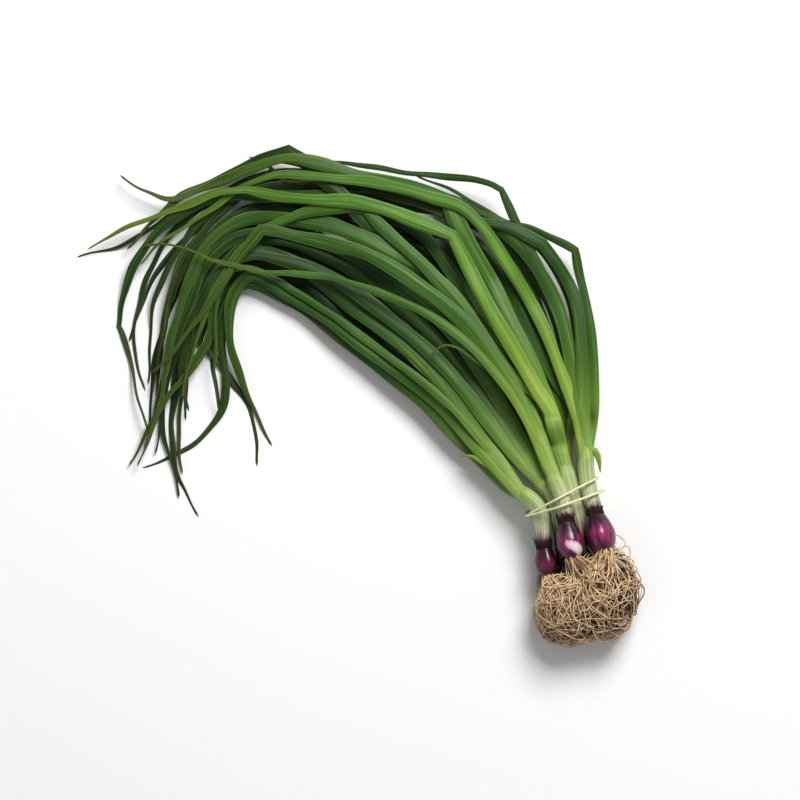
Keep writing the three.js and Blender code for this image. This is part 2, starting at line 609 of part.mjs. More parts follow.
// One root: it comes out of the core, mostly low and at the back, winds over the tuft and lifts its end.
function rootStrand(random, tuft) {
  const points = [];
  const heading = new THREE.Vector3(random() - 0.5, random() - 0.75, 1.1 * random() - 0.35).normalize();
  const axis = new THREE.Vector3(random() - 0.5, random() - 0.5, random() - 0.5).normalize();
  for (let k = 0; k <= ROOT_BENDS; k++) {
    const lifted = k === ROOT_BENDS ? ROOT_LIFT * random() : 0;
    const out = k === 0 ? ROOT_SUNK : ROOT_OUT + ROOT_WANDER * random() + lifted;
    const p = heading.clone().multiply(tuft.size).multiplyScalar(out).add(tuft.centre);
    p.z = Math.max(p.z, 2 * ROOT_RADIUS);
    points.push(p);
    heading.applyAxisAngle(axis, ROOT_LEAST_TURN + ROOT_MORE_TURN * random());
  }
  const curve = new THREE.CatmullRomCurve3(points, false, "catmullrom", 0.5);
  const rings = Array.from({ length: ROOT_STEPS + 1 }, (_, k) => {
    const share = k / ROOT_STEPS;
    const radius = ROOT_RADIUS * (1 - ROOT_TAPER * share);
    return ringAround(curve.getPoint(share), curve.getTangent(share), radius, ROOT_SIDES);
  });
  return solidOf(loft(rings));
}

// The ground under the mat, which presses it flat.
function groundSolid() {
  const width = 200;
  const depth = 20;
  const geometry = new THREE.BoxGeometry(width, width, depth);
  geometry.translate(TUFTS[0].centre.x, TUFTS[0].centre.y, -depth / 2);
  return solidOf(geometry);
}

function rootMat() {
  const random = randomFrom(SEED);
  const pieces = TUFTS.map(tuftCore);
  TUFTS.forEach((tuft) => {
    for (let n = 0; n < tuft.roots; n++) pieces.push(rootStrand(random, tuft));
  });
  const hollows = PLANTS.flatMap((plant) => [bulbSolid(plant, CLEARANCE), neckSolid(plant, CLEARANCE)]);
  return biggestBody(join(pieces).subtract(join([...hollows, groundSolid()])));
}

// Rubber band

const BAND_LEFT = [528, 515]; // pixels that the middle plane of the band runs through
const BAND_RIGHT = [598, 485];
const BAND_GAP = 0.6; // space between the band and the necks
const BAND_REACH = 9; // the necks hold the band open up to this far from its middle plane
const HULL_POINTS = 48; // points on the rim of each neck that the band may touch
const NECK_SAMPLES = 25; // places along a neck where the band may press on it
const BAND_LIFT = BAND_RADIUS + 0.2; // half the height by which one turn lies over the other

// The line of a string pulled round circles: x across the bunch, y up.
function stringAround(circles, radius) {
  const rim = circles.flatMap((c) =>
    Array.from({ length: HULL_POINTS }, (_, k) => {
      const angle = (2 * Math.PI * k) / HULL_POINTS;
      return new THREE.Vector2(c.x + radius * Math.cos(angle), c.y + radius * Math.sin(angle));
    }),
  );
  rim.sort((p, q) => p.x - q.x || p.y - q.y);
  const turn = (o, p, q) => (p.x - o.x) * (q.y - o.y) - (p.y - o.y) * (q.x - o.x);
  const half = (points) => {
    const chain = [];
    for (const p of points) {
      while (chain.length > 1 && turn(chain[chain.length - 2], chain[chain.length - 1], p) <= 0) chain.pop();
      chain.push(p);
    }
    return chain.slice(0, -1);
  };
  const outline = [...half(rim), ...half(rim.slice().reverse())];
  const points = outline.map((p) => new THREE.Vector3(p.x, p.y, 0));
  return new THREE.CatmullRomCurve3(points, true, "catmullrom", 0.5);
}

function rubberBand() {
  const [left, right] = [at(BAND_LEFT), at(BAND_RIGHT)];
  const middle = left.clone().lerp(right, 0.5);
  const across = right.clone().sub(left).normalize();
  const along = new THREE.Vector3(-across.y, across.x, 0);
  const circles = PLANTS.flatMap((plant) => neckCurve(plant).getPoints(NECK_SAMPLES))
    .filter((p) => Math.abs(p.clone().sub(middle).dot(along)) < BAND_REACH)
    .map((p) => new THREE.Vector2(p.clone().sub(middle).dot(across), p.z));
  const string = stringAround(circles, NECK_RADIUS + BAND_GAP + BAND_RADIUS);
  const centreOf = (k) => {
    const turn = (4 * Math.PI * k) / BAND_STEPS;
    const share = (turn / (2 * Math.PI)) % 1;
    const on = string.getPointAt(share);
    const pull = string.getTangentAt(share);
    const lift = BAND_LIFT * (1 + Math.cos(turn / 2));
    return new THREE.Vector3(middle.x, middle.y, on.y - lift * pull.x)
      .addScaledVector(across, on.x + lift * pull.y)
      .addScaledVector(along, BAND_SPREAD * Math.sin(turn / 2));
  };
  const rings = Array.from({ length: BAND_STEPS }, (_, k) => {
    const direction = centreOf(k + 1).sub(centreOf(k - 1 + BAND_STEPS)).normalize();
    const outward = new THREE.Vector3().crossVectors(direction, along).normalize();
    const side = new THREE.Vector3().crossVectors(outward, direction).normalize();
    return Array.from({ length: BAND_SIDES }, (__, j) => {
      const angle = (2 * Math.PI * j) / BAND_SIDES;
      const spoke = outward.clone().multiplyScalar(BAND_RADIUS * Math.cos(angle));
      return centreOf(k).add(spoke).addScaledVector(side, BAND_RADIUS * Math.sin(angle));
    });
  });
  return solidOf(loft(rings, true));
}

// The bunch

const finishes = {
  leaf: new THREE.MeshStandardMaterial({ color: 0x3f7a2c, roughness: 0.5, metalness: 0 }),
  bulb: new THREE.MeshStandardMaterial({ color: 0x6a1038, roughness: 0.3, metalness: 0 }),
  root: new THREE.MeshStandardMaterial({ color: 0xb08a5c, roughness: 0.9, metalness: 0 }),
  band: new THREE.MeshStandardMaterial({ color: 0xe6dcae, roughness: 0.6, metalness: 0 }),
};

const bunch = new THREE.Group();

function addNode(name, solid, finish) {
  const mesh = new THREE.Mesh(geometryOf(solid), finish);
  mesh.name = name;
  bunch.add(mesh);
}

PLANTS.forEach((plant, k) => {
  addNode(`onion_${k + 1}_leaves`, biggestBody(join([neckSolid(plant), ...leafSolids[k]])), finishes.leaf);
  addNode(`onion_${k + 1}_bulb`, bulbSolid(plant), finishes.bulb);
});
addNode("root_mat", rootMat(), finishes.root);
addNode("rubber_band", rubberBand(), finishes.band);

// The middle of the bunch goes over the origin.
const box = new THREE.Box3().setFromObject(bunch);
const middle = box.getCenter(new THREE.Vector3());
const toGrid = (v) => Math.round(v / GRID) * GRID;
bunch.position.set(toGrid(-middle.x), toGrid(-middle.y), toGrid(-box.min.z));

export default bunch;
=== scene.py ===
# %% [markdown]
# # A tied bunch of spring onions
#
# Nine young onions lie on a table, held together by a thin rubber band. Each plant is a purple
# bulb and a pale neck that opens into long hollow leaves, which have gone flat since they were
# pulled. The roots of all nine have grown into one tangled mat.
#
# The solids of the bunch come from a CAD model, which is loaded first. Each piece made below takes
# the place of one of those solids, where it is and as large as it is, with a finer surface.

# %% Load the frame
import math
from collections import namedtuple

import bpy
import numpy as np
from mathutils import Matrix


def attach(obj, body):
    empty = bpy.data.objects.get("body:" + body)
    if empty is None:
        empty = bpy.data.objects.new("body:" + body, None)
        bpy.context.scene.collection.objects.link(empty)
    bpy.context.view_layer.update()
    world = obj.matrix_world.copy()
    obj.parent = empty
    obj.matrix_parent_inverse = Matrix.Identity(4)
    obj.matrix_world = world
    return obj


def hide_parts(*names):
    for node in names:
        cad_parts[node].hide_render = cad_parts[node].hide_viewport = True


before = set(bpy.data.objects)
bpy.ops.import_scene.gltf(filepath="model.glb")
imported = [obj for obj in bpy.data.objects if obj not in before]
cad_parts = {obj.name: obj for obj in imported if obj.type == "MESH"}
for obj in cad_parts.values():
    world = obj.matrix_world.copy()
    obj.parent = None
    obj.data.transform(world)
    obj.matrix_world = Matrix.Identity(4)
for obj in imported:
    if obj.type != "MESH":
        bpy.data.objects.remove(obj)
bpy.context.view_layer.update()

# %% [markdown]
# ## From the photograph to the table
#
# The bunch lies flat and is seen from straight above, so a pixel of the photograph is a place on
# the table. Young onion necks are 10 to 14 mm across and take 18 pixels here, which makes a pixel
# 0.65 mm. All lengths below are in millimetres, as a gardener would give them, and become metres
# only when a mesh is written.

# %% Pixels to millimetres
MM = 0.001  # a millimetre, in Blender's metres
MM_PER_PIXEL = 0.65
ORIGIN_PIXEL = (356.657, 392.568)  # the pixel that lies over the origin of the frame


def at(pixel, z=0.0):
    """The place of a pixel, in millimetres, at this height over the table."""
    x = (pixel[0] - ORIGIN_PIXEL[0]) * MM_PER_PIXEL
    y = (ORIGIN_PIXEL[1] - pixel[1]) * MM_PER_PIXEL
    return np.array([x, y, z])


print("the middle of the photograph lies at", at((400, 400))[:2], "mm")

# %% [markdown]
# ## The camera
#
# A bunch that lies on a table and fills the picture evenly was taken from high above. A camera far
# away with a long lens shows near and far leaves at the same scale, so the picture keeps the
# proportions of the bunch. A nearer camera would make the topmost leaves look larger.

# %% Look straight down
VIEW_WIDTH = 800 * MM_PER_PIXEL  # what the picture shows from side to side
VIEW_HEIGHT = 20.0  # the height over the table at which it shows just that
CAMERA_HEIGHT = 4000.0
SENSOR_WIDTH = 36.0

aim = at((400, 400))
bpy.ops.object.camera_add(location=(aim[0] * MM, aim[1] * MM, CAMERA_HEIGHT * MM), rotation=(0, 0, 0))
camera = bpy.context.active_object
camera.data.sensor_width = SENSOR_WIDTH
camera.data.lens = SENSOR_WIDTH * (CAMERA_HEIGHT - VIEW_HEIGHT) / VIEW_WIDTH
camera.data.clip_end = 100.0
bpy.context.scene.camera = camera
print("the lens is", round(camera.data.lens), "mm long")

# %% [markdown]
# ## Floor and light
#
# The floor is one large pale plane. Soft light needs a large lamp: one square lamp stands high to
# the right of the leaves, where the bright sides of the leaves face, and a weaker one opposite
# opens the shadows. A pale world fills in from all round, so the gaps between the leaves stay dark
# green and don't go black. The plain view transform lets white paper come out white.

# %% Floor, lamps and sky
FLOOR_SIZE = 30.0

bpy.ops.mesh.primitive_plane_add(size=FLOOR_SIZE, location=(0, 0, 0))
floor = bpy.context.active_object
floor.name = "floor"


def add_lamp(name, direction, distance, size, watts):
    """A square lamp in this direction from the bunch, facing it. Lengths are in metres."""
    azimuth, elevation = (math.radians(angle) for angle in direction)
    place = (distance * math.cos(elevation) * math.cos(azimuth),
             distance * math.cos(elevation) * math.sin(azimuth), distance * math.sin(elevation))
    turned = (0, math.pi / 2 - elevation, azimuth)
    bpy.ops.object.light_add(type="AREA", location=place, rotation=turned)
    lamp = bpy.context.active_object
    lamp.name = name
    lamp.data.size = size
    lamp.data.energy = watts


add_lamp("key lamp", (62, 50), 2.2, 0.95, 54)
add_lamp("fill lamp", (215, 40), 2.6, 1.6, 5)

world = bpy.data.worlds.new("studio")
world.use_nodes = True
world.node_tree.nodes["Background"].inputs["Color"].default_value = (1, 1, 1, 1)
world.node_tree.nodes["Background"].inputs["Strength"].default_value = 0.3
bpy.context.scene.world = world
bpy.context.scene.view_settings.view_transform = "Standard"
print("two lamps and a pale sky")

# %% [markdown]
# ## Where the plants are
#
# Every plant is a straight run from its bulb to the place where the band holds it, and a little
# further to the point where its leaves part. At the band the necks lie in a lower row of four, an
# upper row of four, and one on top. The bulbs are spread where the photograph shows them, or where
# there is room under those. The list is the same as that of the solids, so each fine piece lands
# on its solid.

# %% The nine plants
LOWER_TIE = 11.6  # height of the lower row of necks at the band
UPPER_TIE = 24.1
TOP_TIE = 34.1
TIE_RISE = 0.5  # a neck is this much higher where its leaves part

Plant = namedtuple("Plant", "bulb height radius tie tie_height split")
plants = [
    Plant((549, 587), 10, 8, (538, 508), LOWER_TIE, (513, 489)),
    Plant((575, 614), 10, 8, (555, 499), LOWER_TIE, (537, 473)),
    Plant((597, 598), 9.5, 8.2, (571, 491), LOWER_TIE, (564, 456)),
    Plant((618, 584), 10.5, 8, (587, 482), LOWER_TIE, (588, 446)),
    Plant((546, 563), 26, 7.2, (538, 508), UPPER_TIE, (513, 487)),
    Plant((568, 581), 23.4, 7.6, (555, 499), UPPER_TIE, (534, 476)),
    Plant((591, 577), 22.5, 7.8, (571, 491), UPPER_TIE, (561, 455)),
    Plant((600, 535), 33.5, 9.4, (587, 482), UPPER_TIE, (584, 440)),
    Plant((569, 542), 37, 9, (561, 495), TOP_TIE, (549, 466)),
]
print(len(plants), "plants")

# %% [markdown]
# ## Where the leaves go
#
# No formula knows how these leaves fell, so each has its own way, picked from the photograph point
# by point from the neck to the tip. A leaf that was bent too far has a sharp fold, which is marked.
# The order of the list is the order in which the leaves lie on each other. The tone runs from 0, a
# deep blue green, to 1, the yellow green of a leaf that has begun to wilt.

# %% The leaves, lowest first
FOLD = True  # marks a point where the leaf is folded sharply

Leaf = namedtuple("Leaf", "plant width tone route")
LOWER_LEAVES = [
    Leaf(0, 10, 0.35, [(500, 470), (460, 425), (415, 375), (365, 330), (315, 293), (270, 268), (237, 272),
        (208, 303), (191, 345), (184, 385), (183, 421)]),
    Leaf(0, 9, 0.2, [(505, 474), (470, 436), (430, 390), (385, 348), (340, 310), (300, 281), (264, 263),
        (236, 272), (217, 303), (213, 345), (214, 385), (219, 414)]),
    Leaf(0, 9.5, 0.45, [(503, 480), (465, 445), (425, 402), (385, 368), (330, 323), (285, 290),
        (252, 276), (229, 286), (208, 311), (200, 341, FOLD), (213, 358), (232, 385), (250, 411),
        (257, 440), (257, 467)]),
    Leaf(0, 9.5, 0.5, [(504, 483), (472, 450), (430, 408), (390, 375), (345, 339), (300, 306), (263, 285),
        (243, 283), (230, 299), (223, 325), (222, 355), (224, 385), (219, 412), (204, 436), (181, 453),
        (140, 467)]),
    Leaf(1, 10, 0.3, [(522, 448), (485, 396), (440, 348), (395, 310), (345, 275), (300, 253), (262, 245),
        (231, 257), (206, 290), (190, 335), (175, 385), (169, 425), (176, 468), (186, 493), (197, 518)]),
    Leaf(1, 10, 0.15, [(527, 445), (490, 387), (450, 336), (405, 293), (355, 257), (305, 235), (262, 228),
        (226, 243), (199, 280), (180, 325), (166, 370), (160, 410), (167, 447), (175, 475), (176, 499)]),
    Leaf(1, 10, 0.2, [(532, 440), (500, 378), (462, 320), (420, 274), (375, 240), (325, 216), (280, 204),
        (240, 212), (208, 240), (183, 272), (166, 310), (156, 355), (151, 395), (146, 427)]),
    Leaf(1, 8.5, 0.1, [(535, 438), (508, 376), (475, 316), (440, 268), (400, 230), (355, 203), (305, 188),
        (257, 190), (219, 205), (189, 234), (162, 265), (145, 292), (134, 318), (127, 342)]),
    Leaf(1, 9.5, 0.15, [(513, 456), (480, 419), (447, 372), (412, 325), (377, 287), (335, 258),
        (290, 240), (250, 240), (220, 262), (196, 295), (178, 338), (168, 382), (160, 425), (152, 455)]),
    Leaf(2, 10, 0.2, [(557, 412), (535, 372), (510, 338), (482, 303), (458, 267), (435, 239), (405, 217),
        (365, 207), (320, 202), (275, 204), (232, 220), (200, 248), (176, 285), (163, 325), (157, 365),
        (155, 400)]),
    Leaf(2, 10, 0.3, [(562, 415), (550, 360), (534, 305), (512, 255), (486, 220), (450, 200), (405, 189),
        (355, 180), (300, 175), (252, 187), (215, 215), (186, 255), (168, 300), (159, 345), (153, 395)]),
    Leaf(2, 8, 0.2, [(566, 418), (558, 375), (545, 325), (526, 278), (503, 242), (476, 222), (438, 206),
        (395, 194), (340, 182), (292, 173), (248, 180), (205, 205), (170, 235), (147, 270), (138, 305),
        (134, 340), (137, 370), (142, 392)]),
    Leaf(2, 6, 0.4, [(565, 425), (553, 380), (536, 322), (513, 264), (490, 230), (455, 208), (405, 191),
        (350, 178), (300, 165), (266, 160, FOLD), (282, 180), (300, 208), (322, 232), (347, 241)]),
    Leaf(3, 9, 0.25, [(578, 415), (561, 386), (545, 360), (527, 325), (511, 293), (494, 263), (473, 243),
        (438, 230), (390, 222), (335, 212), (290, 206), (255, 211), (225, 226), (198, 248), (180, 275),
        (170, 305)]),
    Leaf(3, 8.5, 0.35, [(584, 420), (574, 382), (564, 342), (552, 306), (536, 276), (518, 252),
        (498, 229), (460, 214), (410, 203), (350, 191), (295, 184), (252, 190), (218, 206), (190, 232),
        (169, 262), (155, 300), (149, 345), (145, 385)]),
    Leaf(3, 8.5, 0.3, [(588, 415), (585, 380), (580, 338), (572, 300), (556, 266), (537, 243), (510, 229),
        (470, 217), (420, 205), (365, 194), (310, 187), (264, 189), (227, 199), (192, 205), (152, 225),
        (116, 246), (75, 258)]),
    Leaf(3, 6.5, 0.45, [(593, 420), (594, 385), (592, 345), (587, 305), (579, 272), (574, 251, FOLD),
        (556, 241), (530, 228), (505, 221), (478, 206), (448, 190), (415, 174)]),
    Leaf(2, 5.5, 0.35, [(572, 412), (568, 370), (558, 320), (543, 276), (523, 235), (501, 190, FOLD),
        (484, 183), (430, 174), (360, 166), (290, 158), (247, 158)]),
]

UPPER_LEAVES = [
    Leaf(7, 9.5, 0.4, [(578, 405), (570, 355), (556, 305), (534, 262), (510, 235), (478, 217), (430, 203),
        (380, 193), (325, 184), (280, 180)]),
    Leaf(7, 8, 0.35, [(583, 400), (581, 355), (576, 305), (562, 270), (543, 244, FOLD), (512, 230),
        (470, 220), (430, 209), (385, 198), (340, 189)]),
    Leaf(7, 4.5, 0.6, [(594, 451), (599, 460), (601, 473)]),
    Leaf(5, 10, 0.35, [(512, 438), (478, 391), (445, 350), (410, 312), (370, 280), (325, 253), (285, 240),
        (252, 244), (222, 266), (201, 300), (188, 343), (180, 388), (177, 430), (183, 475)]),
    Leaf(5, 9.5, 0.3, [(517, 434), (488, 382), (458, 340), (420, 300), (378, 268), (335, 247), (295, 233),
        (256, 231), (223, 247), (198, 280), (180, 325), (167, 370), (152, 415), (142, 450)]),
    Leaf(4, 10.5, 0.55, [(494, 464), (462, 428), (426, 391), (388, 362), (345, 331), (302, 301),
        (268, 282), (249, 277), (237, 290), (230, 312), (228, 338), (234, 365), (247, 393), (260, 420),
        (271, 447)]),
    Leaf(4, 10.5, 0.5, [(497, 460), (470, 422), (443, 385), (413, 352), (370, 319), (322, 283),
        (290, 262), (255, 251), (231, 263), (217, 290), (213, 322), (206, 342, FOLD), (190, 367),
        (168, 398), (148, 430), (126, 466)]),
    Leaf(4, 5, 0.6, [(490, 452), (458, 414), (425, 384), (385, 353), (345, 325), (305, 297), (272, 276),
        (244, 268), (224, 280), (215, 310), (214, 345), (216, 385), (220, 412)]),
    Leaf(4, 4.5, 0.75, [(496, 470), (482, 461), (471, 456), (460, 457)]),
    Leaf(5, 9, 0.3, [(508, 448), (470, 397), (437, 360), (400, 326), (360, 296), (315, 270), (270, 256),
        (237, 260), (211, 284), (198, 315), (191, 350), (186, 385), (189, 412)]),
    Leaf(6, 9, 0.3, [(543, 412), (503, 362), (472, 305), (440, 257), (415, 228), (375, 208), (325, 198),
        (270, 195), (225, 197), (184, 211), (153, 234), (135, 265), (123, 297), (116, 326, FOLD),
        (127, 355), (136, 388), (147, 430)]),
    Leaf(6, 12.5, 0.35, [(545, 410), (518, 372), (482, 330), (450, 298), (418, 266), (380, 230),
        (345, 198), (306, 165), (288, 149, FOLD), (256, 161), (216, 182), (177, 199), (149, 222),
        (126, 250)]),
    Leaf(8, 10, 0.5, [(528, 412), (500, 362), (466, 312), (430, 275), (390, 250), (345, 231), (300, 220),
        (260, 216), (228, 228), (203, 252), (184, 290), (173, 335), (163, 385), (146, 445), (138, 468)]),
    Leaf(6, 8, 0.65, [(548, 408), (505, 368), (466, 312), (430, 273), (394, 238), (366, 209, FOLD),
        (345, 209), (300, 215), (262, 228, FOLD), (240, 252), (218, 286), (202, 320), (190, 358),
        (183, 400)]),
    Leaf(6, 10.5, 0.6, [(551, 415), (538, 380), (521, 342), (498, 298), (474, 253), (454, 215),
        (446, 200, FOLD), (425, 193), (375, 179), (330, 167), (292, 160), (255, 166), (215, 184),
        (172, 200), (145, 190), (119, 173)]),
    Leaf(7, 8, 0.9, [(574, 408), (556, 360), (542, 325), (524, 290), (503, 258), (480, 226), (460, 207),
        (428, 196), (385, 186), (335, 178), (290, 174), (252, 184), (218, 203), (184, 226), (160, 244),
        (140, 266)]),
    Leaf(8, 10, 0.55, [(527, 416), (507, 380), (480, 342), (450, 310), (415, 282), (375, 259), (335, 245),
        (288, 233), (262, 230, FOLD), (239, 260), (213, 295), (187, 335), (168, 360), (150, 374)]),
    Leaf(6, 9.5, 1.0, [(553, 418), (534, 386), (511, 346), (485, 300), (461, 255), (452, 236, FOLD),
        (413, 219), (365, 205), (300, 198), (244, 191, FOLD), (215, 195), (160, 213), (110, 237),
        (86, 250)]),
    Leaf(8, 5, 0.7, [(523, 414), (495, 376), (470, 354), (449, 345), (438, 348), (431, 357)]),
    Leaf(8, 5.5, 0.7, [(526, 422), (506, 388), (478, 354), (447, 328), (410, 305), (365, 288), (310, 275),
        (250, 269), (210, 261, FOLD), (173, 244), (142, 244)]),
]
print(len(LOWER_LEAVES) + len(UPPER_LEAVES), "leaves")

# %% [markdown]
# ## A smooth line through chosen points
#
# A route of ten or fifteen points becomes a smooth line with a Catmull-Rom curve, which passes
# through every point and bends evenly between them. The line is then divided into equal steps, so
# that the rings of a leaf stand at equal distances.

# %% Curve helpers


def smooth_line(points, shares):
    """The places at these shares, from 0 to 1, of a smooth line through the points."""
    points = np.asarray(points, float)
    padded = np.vstack([2 * points[0] - points[1], points, 2 * points[-1] - points[-2]])
    place = np.clip(shares, 0, 1) * (len(points) - 1)
    span = np.minimum(place.astype(int), len(points) - 2)
    w = (place - span)[:, None]
    before, start, end, after = (padded[span + k] for k in range(4))
    leaving, arriving = (end - before) / 2, (after - start) / 2
    return (
        (2 * w**3 - 3 * w**2 + 1) * start
        + (w**3 - 2 * w**2 + w) * leaving
        + (3 * w**2 - 2 * w**3) * end
        + (w**3 - w**2) * arriving
    )


def lengths_along(line):
    """The distance of each point of a line from its start."""
    steps = np.linalg.norm(np.diff(line, axis=0), axis=1)
    return np.concatenate([[0], np.cumsum(steps)])


def even_steps(line, step):
    """The same line with its points about one step apart."""
    along = lengths_along(line)
    count = max(2, round(along[-1] / step))
    wanted = np.linspace(0, along[-1], count + 1)
    return np.column_stack([np.interp(wanted, along, axis) for axis in line.T])


def unit(vectors):
    """The vectors at length one."""
    return vectors / np.maximum(np.linalg.norm(vectors, axis=-1, keepdims=True), 1e-9)


def soften(values, reach):
    """A running average over about this many neighbours to each side."""
    offsets = np.arange(-3 * reach, 3 * reach + 1)
    weights = np.exp(-((offsets / reach) ** 2))
    padded = np.pad(values, 3 * reach, mode="edge")
    return np.convolve(padded, weights / weights.sum(), mode="valid")


print("a straight test line has", len(even_steps(np.array([[0.0, 0.0], [10.0, 0.0]]), 1.0)), "points")

# %% [markdown]
# ## The necks as lines
#
# A neck starts on top of the bulb, where the bulb has drawn in to its collar, passes the band and
# ends where the leaves part. It swells from the collar to its full width at the band, and thins
# again where the leaves leave it.

# %% Neck lines
NODE_GAP = 0.35
NECK_RADIUS = 5.6
COLLAR_RADIUS = 5.0
BULB_TOP = 1.75  # distance from a bulb's middle to its collar, in bulb radii
SWELL_SHARE = 0.38  # share of a neck, from the collar, over which it swells to its full radius
TAPER_FROM = 0.8  # share of a neck from which it thins towards its leaves
TAPER = 1.1


def neck_points(plant):
    """The collar, the place at the band and the place where the leaves part."""
    bulb = at(plant.bulb, plant.height)
    tie = at(plant.tie, plant.tie_height)
    split = at(plant.split, plant.tie_height + TIE_RISE)
    to_tie = tie - bulb
    collar = bulb + unit(to_tie) * (BULB_TOP * plant.radius + NODE_GAP)
    return np.array([collar, tie, split])


def neck_line(plant, shares):
    """Places on the middle line of a neck."""
    return smooth_line(neck_points(plant), np.atleast_1d(shares))


def neck_radius(shares):
    """Radius of a neck at these shares of its line, from the collar to the leaves."""
    swell = COLLAR_RADIUS + (NECK_RADIUS - COLLAR_RADIUS) * np.minimum(1, shares / SWELL_SHARE)
    return swell * (1 - TAPER * np.maximum(0, shares - TAPER_FROM))


for number, plant in enumerate(plants, 1):
    print("neck", number, "is", round(lengths_along(neck_line(plant, np.linspace(0, 1, 30)))[-1]), "mm long")

# %% [markdown]
# ## Laying the leaves down
#
# The photograph gives no heights. A leaf that is dropped on a heap comes to rest on the highest
# things under it, so the heap is kept as a height map: a grid of one millimetre cells over the
# table, with the top of all that has been laid there. Each leaf in turn is lifted until it clears
# what is under its whole width. There is a map for each plant, because the leaves of one plant
# grow out of one neck and may touch near it.
#
# A leaf is springy too. It can't drop straight down behind a neighbour that it lies on, but leaves
# it on a wide bend, which is drawn here as a parabola. Near its tip a leaf is limp and the bend is
# tighter. Near its neck a leaf comes out level, and passes under what lies much higher there.

# %% The height maps
MAP_LEFT, MAP_FRONT = -210, -190
MAP_COLUMNS, MAP_ROWS = 420, 380
NECK_SAG_RADIUS = 360.0
TIP_SAG_RADIUS = 130.0
OWN_LEAVES_FROM = 70.0  # the leaves of a plant part from each other this far from the neck
CELL_MARGIN = 0.7
LAID_GAP = 0.3
BESIDE_NECK = 25.0  # this near to its neck a leaf passes under what lies high
CLIMB = 9.0  # which is what is more than this above the neck's middle

SPOTS_MARKED = 33  # places across a leaf at which its top is noted in the map
SPOTS_FELT = 25  # and at which it feels for what lies under it

heaps = np.zeros((len(plants), MAP_ROWS * MAP_COLUMNS))


def cells_under(places):
    """The number of the map cell under each place."""
    column = np.clip(places[..., 0] - MAP_LEFT, 0, MAP_COLUMNS - 1).astype(int)
    row = np.clip(places[..., 1] - MAP_FRONT, 0, MAP_ROWS - 1).astype(int)
    return row * MAP_COLUMNS + column


def rise(q):
    """Height of a leaf's top over its middle, at this share of its half width."""
    return np.clip(2 * (1 - np.abs(q)), 0, 1)


def spots_across(line, half_width, count):
    """Shares of the half width of a strip, and the map cells that lie under them, all along it."""
    across = np.linspace(-1, 1, count)
    travel = unit(np.gradient(line[:, :2], axis=0))
    side = np.column_stack([travel[:, 1], -travel[:, 0]])
    reach = (half_width + CELL_MARGIN)[:, None, None] * across[None, :, None]
    return across, cells_under(line[:, None, :2] + side[:, None, :] * reach)


def mark_laid(line, half_width, half_height, plant):
    """Adds a strip to a plant's heap."""
    across, cells = spots_across(line, half_width, SPOTS_MARKED)
    tops = line[:, None, 2] + half_height[:, None] * rise(across)[None, :]
    np.maximum.at(heaps[plant], cells.ravel(), tops.ravel())


def rest_heights(line, along, half_width, half_height, plant, ceiling):
    """The height at which each point of a strip clears what lies under it, lower than the ceiling."""
    across, cells = spots_across(line, half_width, SPOTS_FELT)
    others = np.delete(heaps, plant, axis=0)[:, cells]
    others = np.where(others < ceiling[None, :, None], others, 0).max(axis=0)
    own = np.where((along > OWN_LEAVES_FROM)[:, None], heaps[plant][cells], 0)
    top = np.maximum(others, own)
    lift = np.where(top > 0, top + LAID_GAP, 0)
    share = np.where(top > 0, rise(across)[None, :], 1)
    return (lift + half_height[:, None] * share).max(axis=1)


def relax(heights, along, neck_end, neck_height):
    """Keeps a springy leaf from dropping faster than its bend allows."""
    radius = NECK_SAG_RADIUS + (TIP_SAG_RADIUS - NECK_SAG_RADIUS) * along / along[-1]
    away = along[:, None] - along[None, :]
    bent = (heights[None, :] - away**2 / (2 * radius[None, :])).max(axis=1)
    level = np.where(along < neck_end + BESIDE_NECK, np.maximum(heights, neck_height), np.inf)
    return np.where(along > neck_end, np.minimum(bent, level), heights)


print(heaps.shape[1], "cells for each plant")

# %% [markdown]
# ## The section of a leaf
#
# A young leaf is a round tube. Away from the neck it has gone flat, to about a third of its width,
# and it has a soft ridge along its back that isn't in the middle, with a shallow crease beside it.
# The ridge is what makes one side of each leaf light and the other dark. Where a leaf is folded the
# tube is crushed. Each leaf also leans over a little, to one side and then to the other, as it lies
# on its neighbours. The yellower a leaf is, the further up from its neck it stays pale.

# %% Width, thickness and lean
LEAF_FLATNESS = 0.29
NECK_ROUNDNESS = 0.94  # thickness over width inside the neck
ROUND_LENGTH = 75.0  # length over which a leaf goes from round to flat
LEAF_BASE_HALF = 4.6  # half width of a leaf inside its neck
BASE_SHARE = 0.62  # or this share of its width, if it is narrow
BASE_LENGTH = 50.0  # length over which a leaf takes its own width
LEAF_TIP_HALF = 0.38
LEAST_HALF_WIDTH = 0.7
TIP_SHARE = 0.5  # share of a leaf's length over which it narrows to its tip
TIP_LEAST, TIP_POWER = 0.06, 0.75  # its least width, as a share, and the power of the narrowing
LEAF_START = 0.62  # a leaf starts inside the neck, this far along it
LEAF_LEAVES = 0.86  # and has left it here
STATION_STEP = 1.0
FOLD_REACH = 7.0
FOLD_PINCH = 0.12
FOLD_CRUSH = 0.45
LEAN_SWING = 0.06  # a leaf leans to one side by up to this angle, in radians
LEAN_WAVE = 0.12  # and to and fro by this one
LEAN_LENGTHS = (90, 170)  # shortest and longest wave of the leaning
LEAN_FROM = 90.0  # it leans as far as it may from this far along
PALE_LENGTH, MORE_PALE = 20.0, 40.0  # how far up a green leaf is pale, and how much further a yellow one

draw = np.random.default_rng(8)
Strip = namedtuple("Strip", "line along travel half_width half_thick lean age folds ridge ridge_place tone")


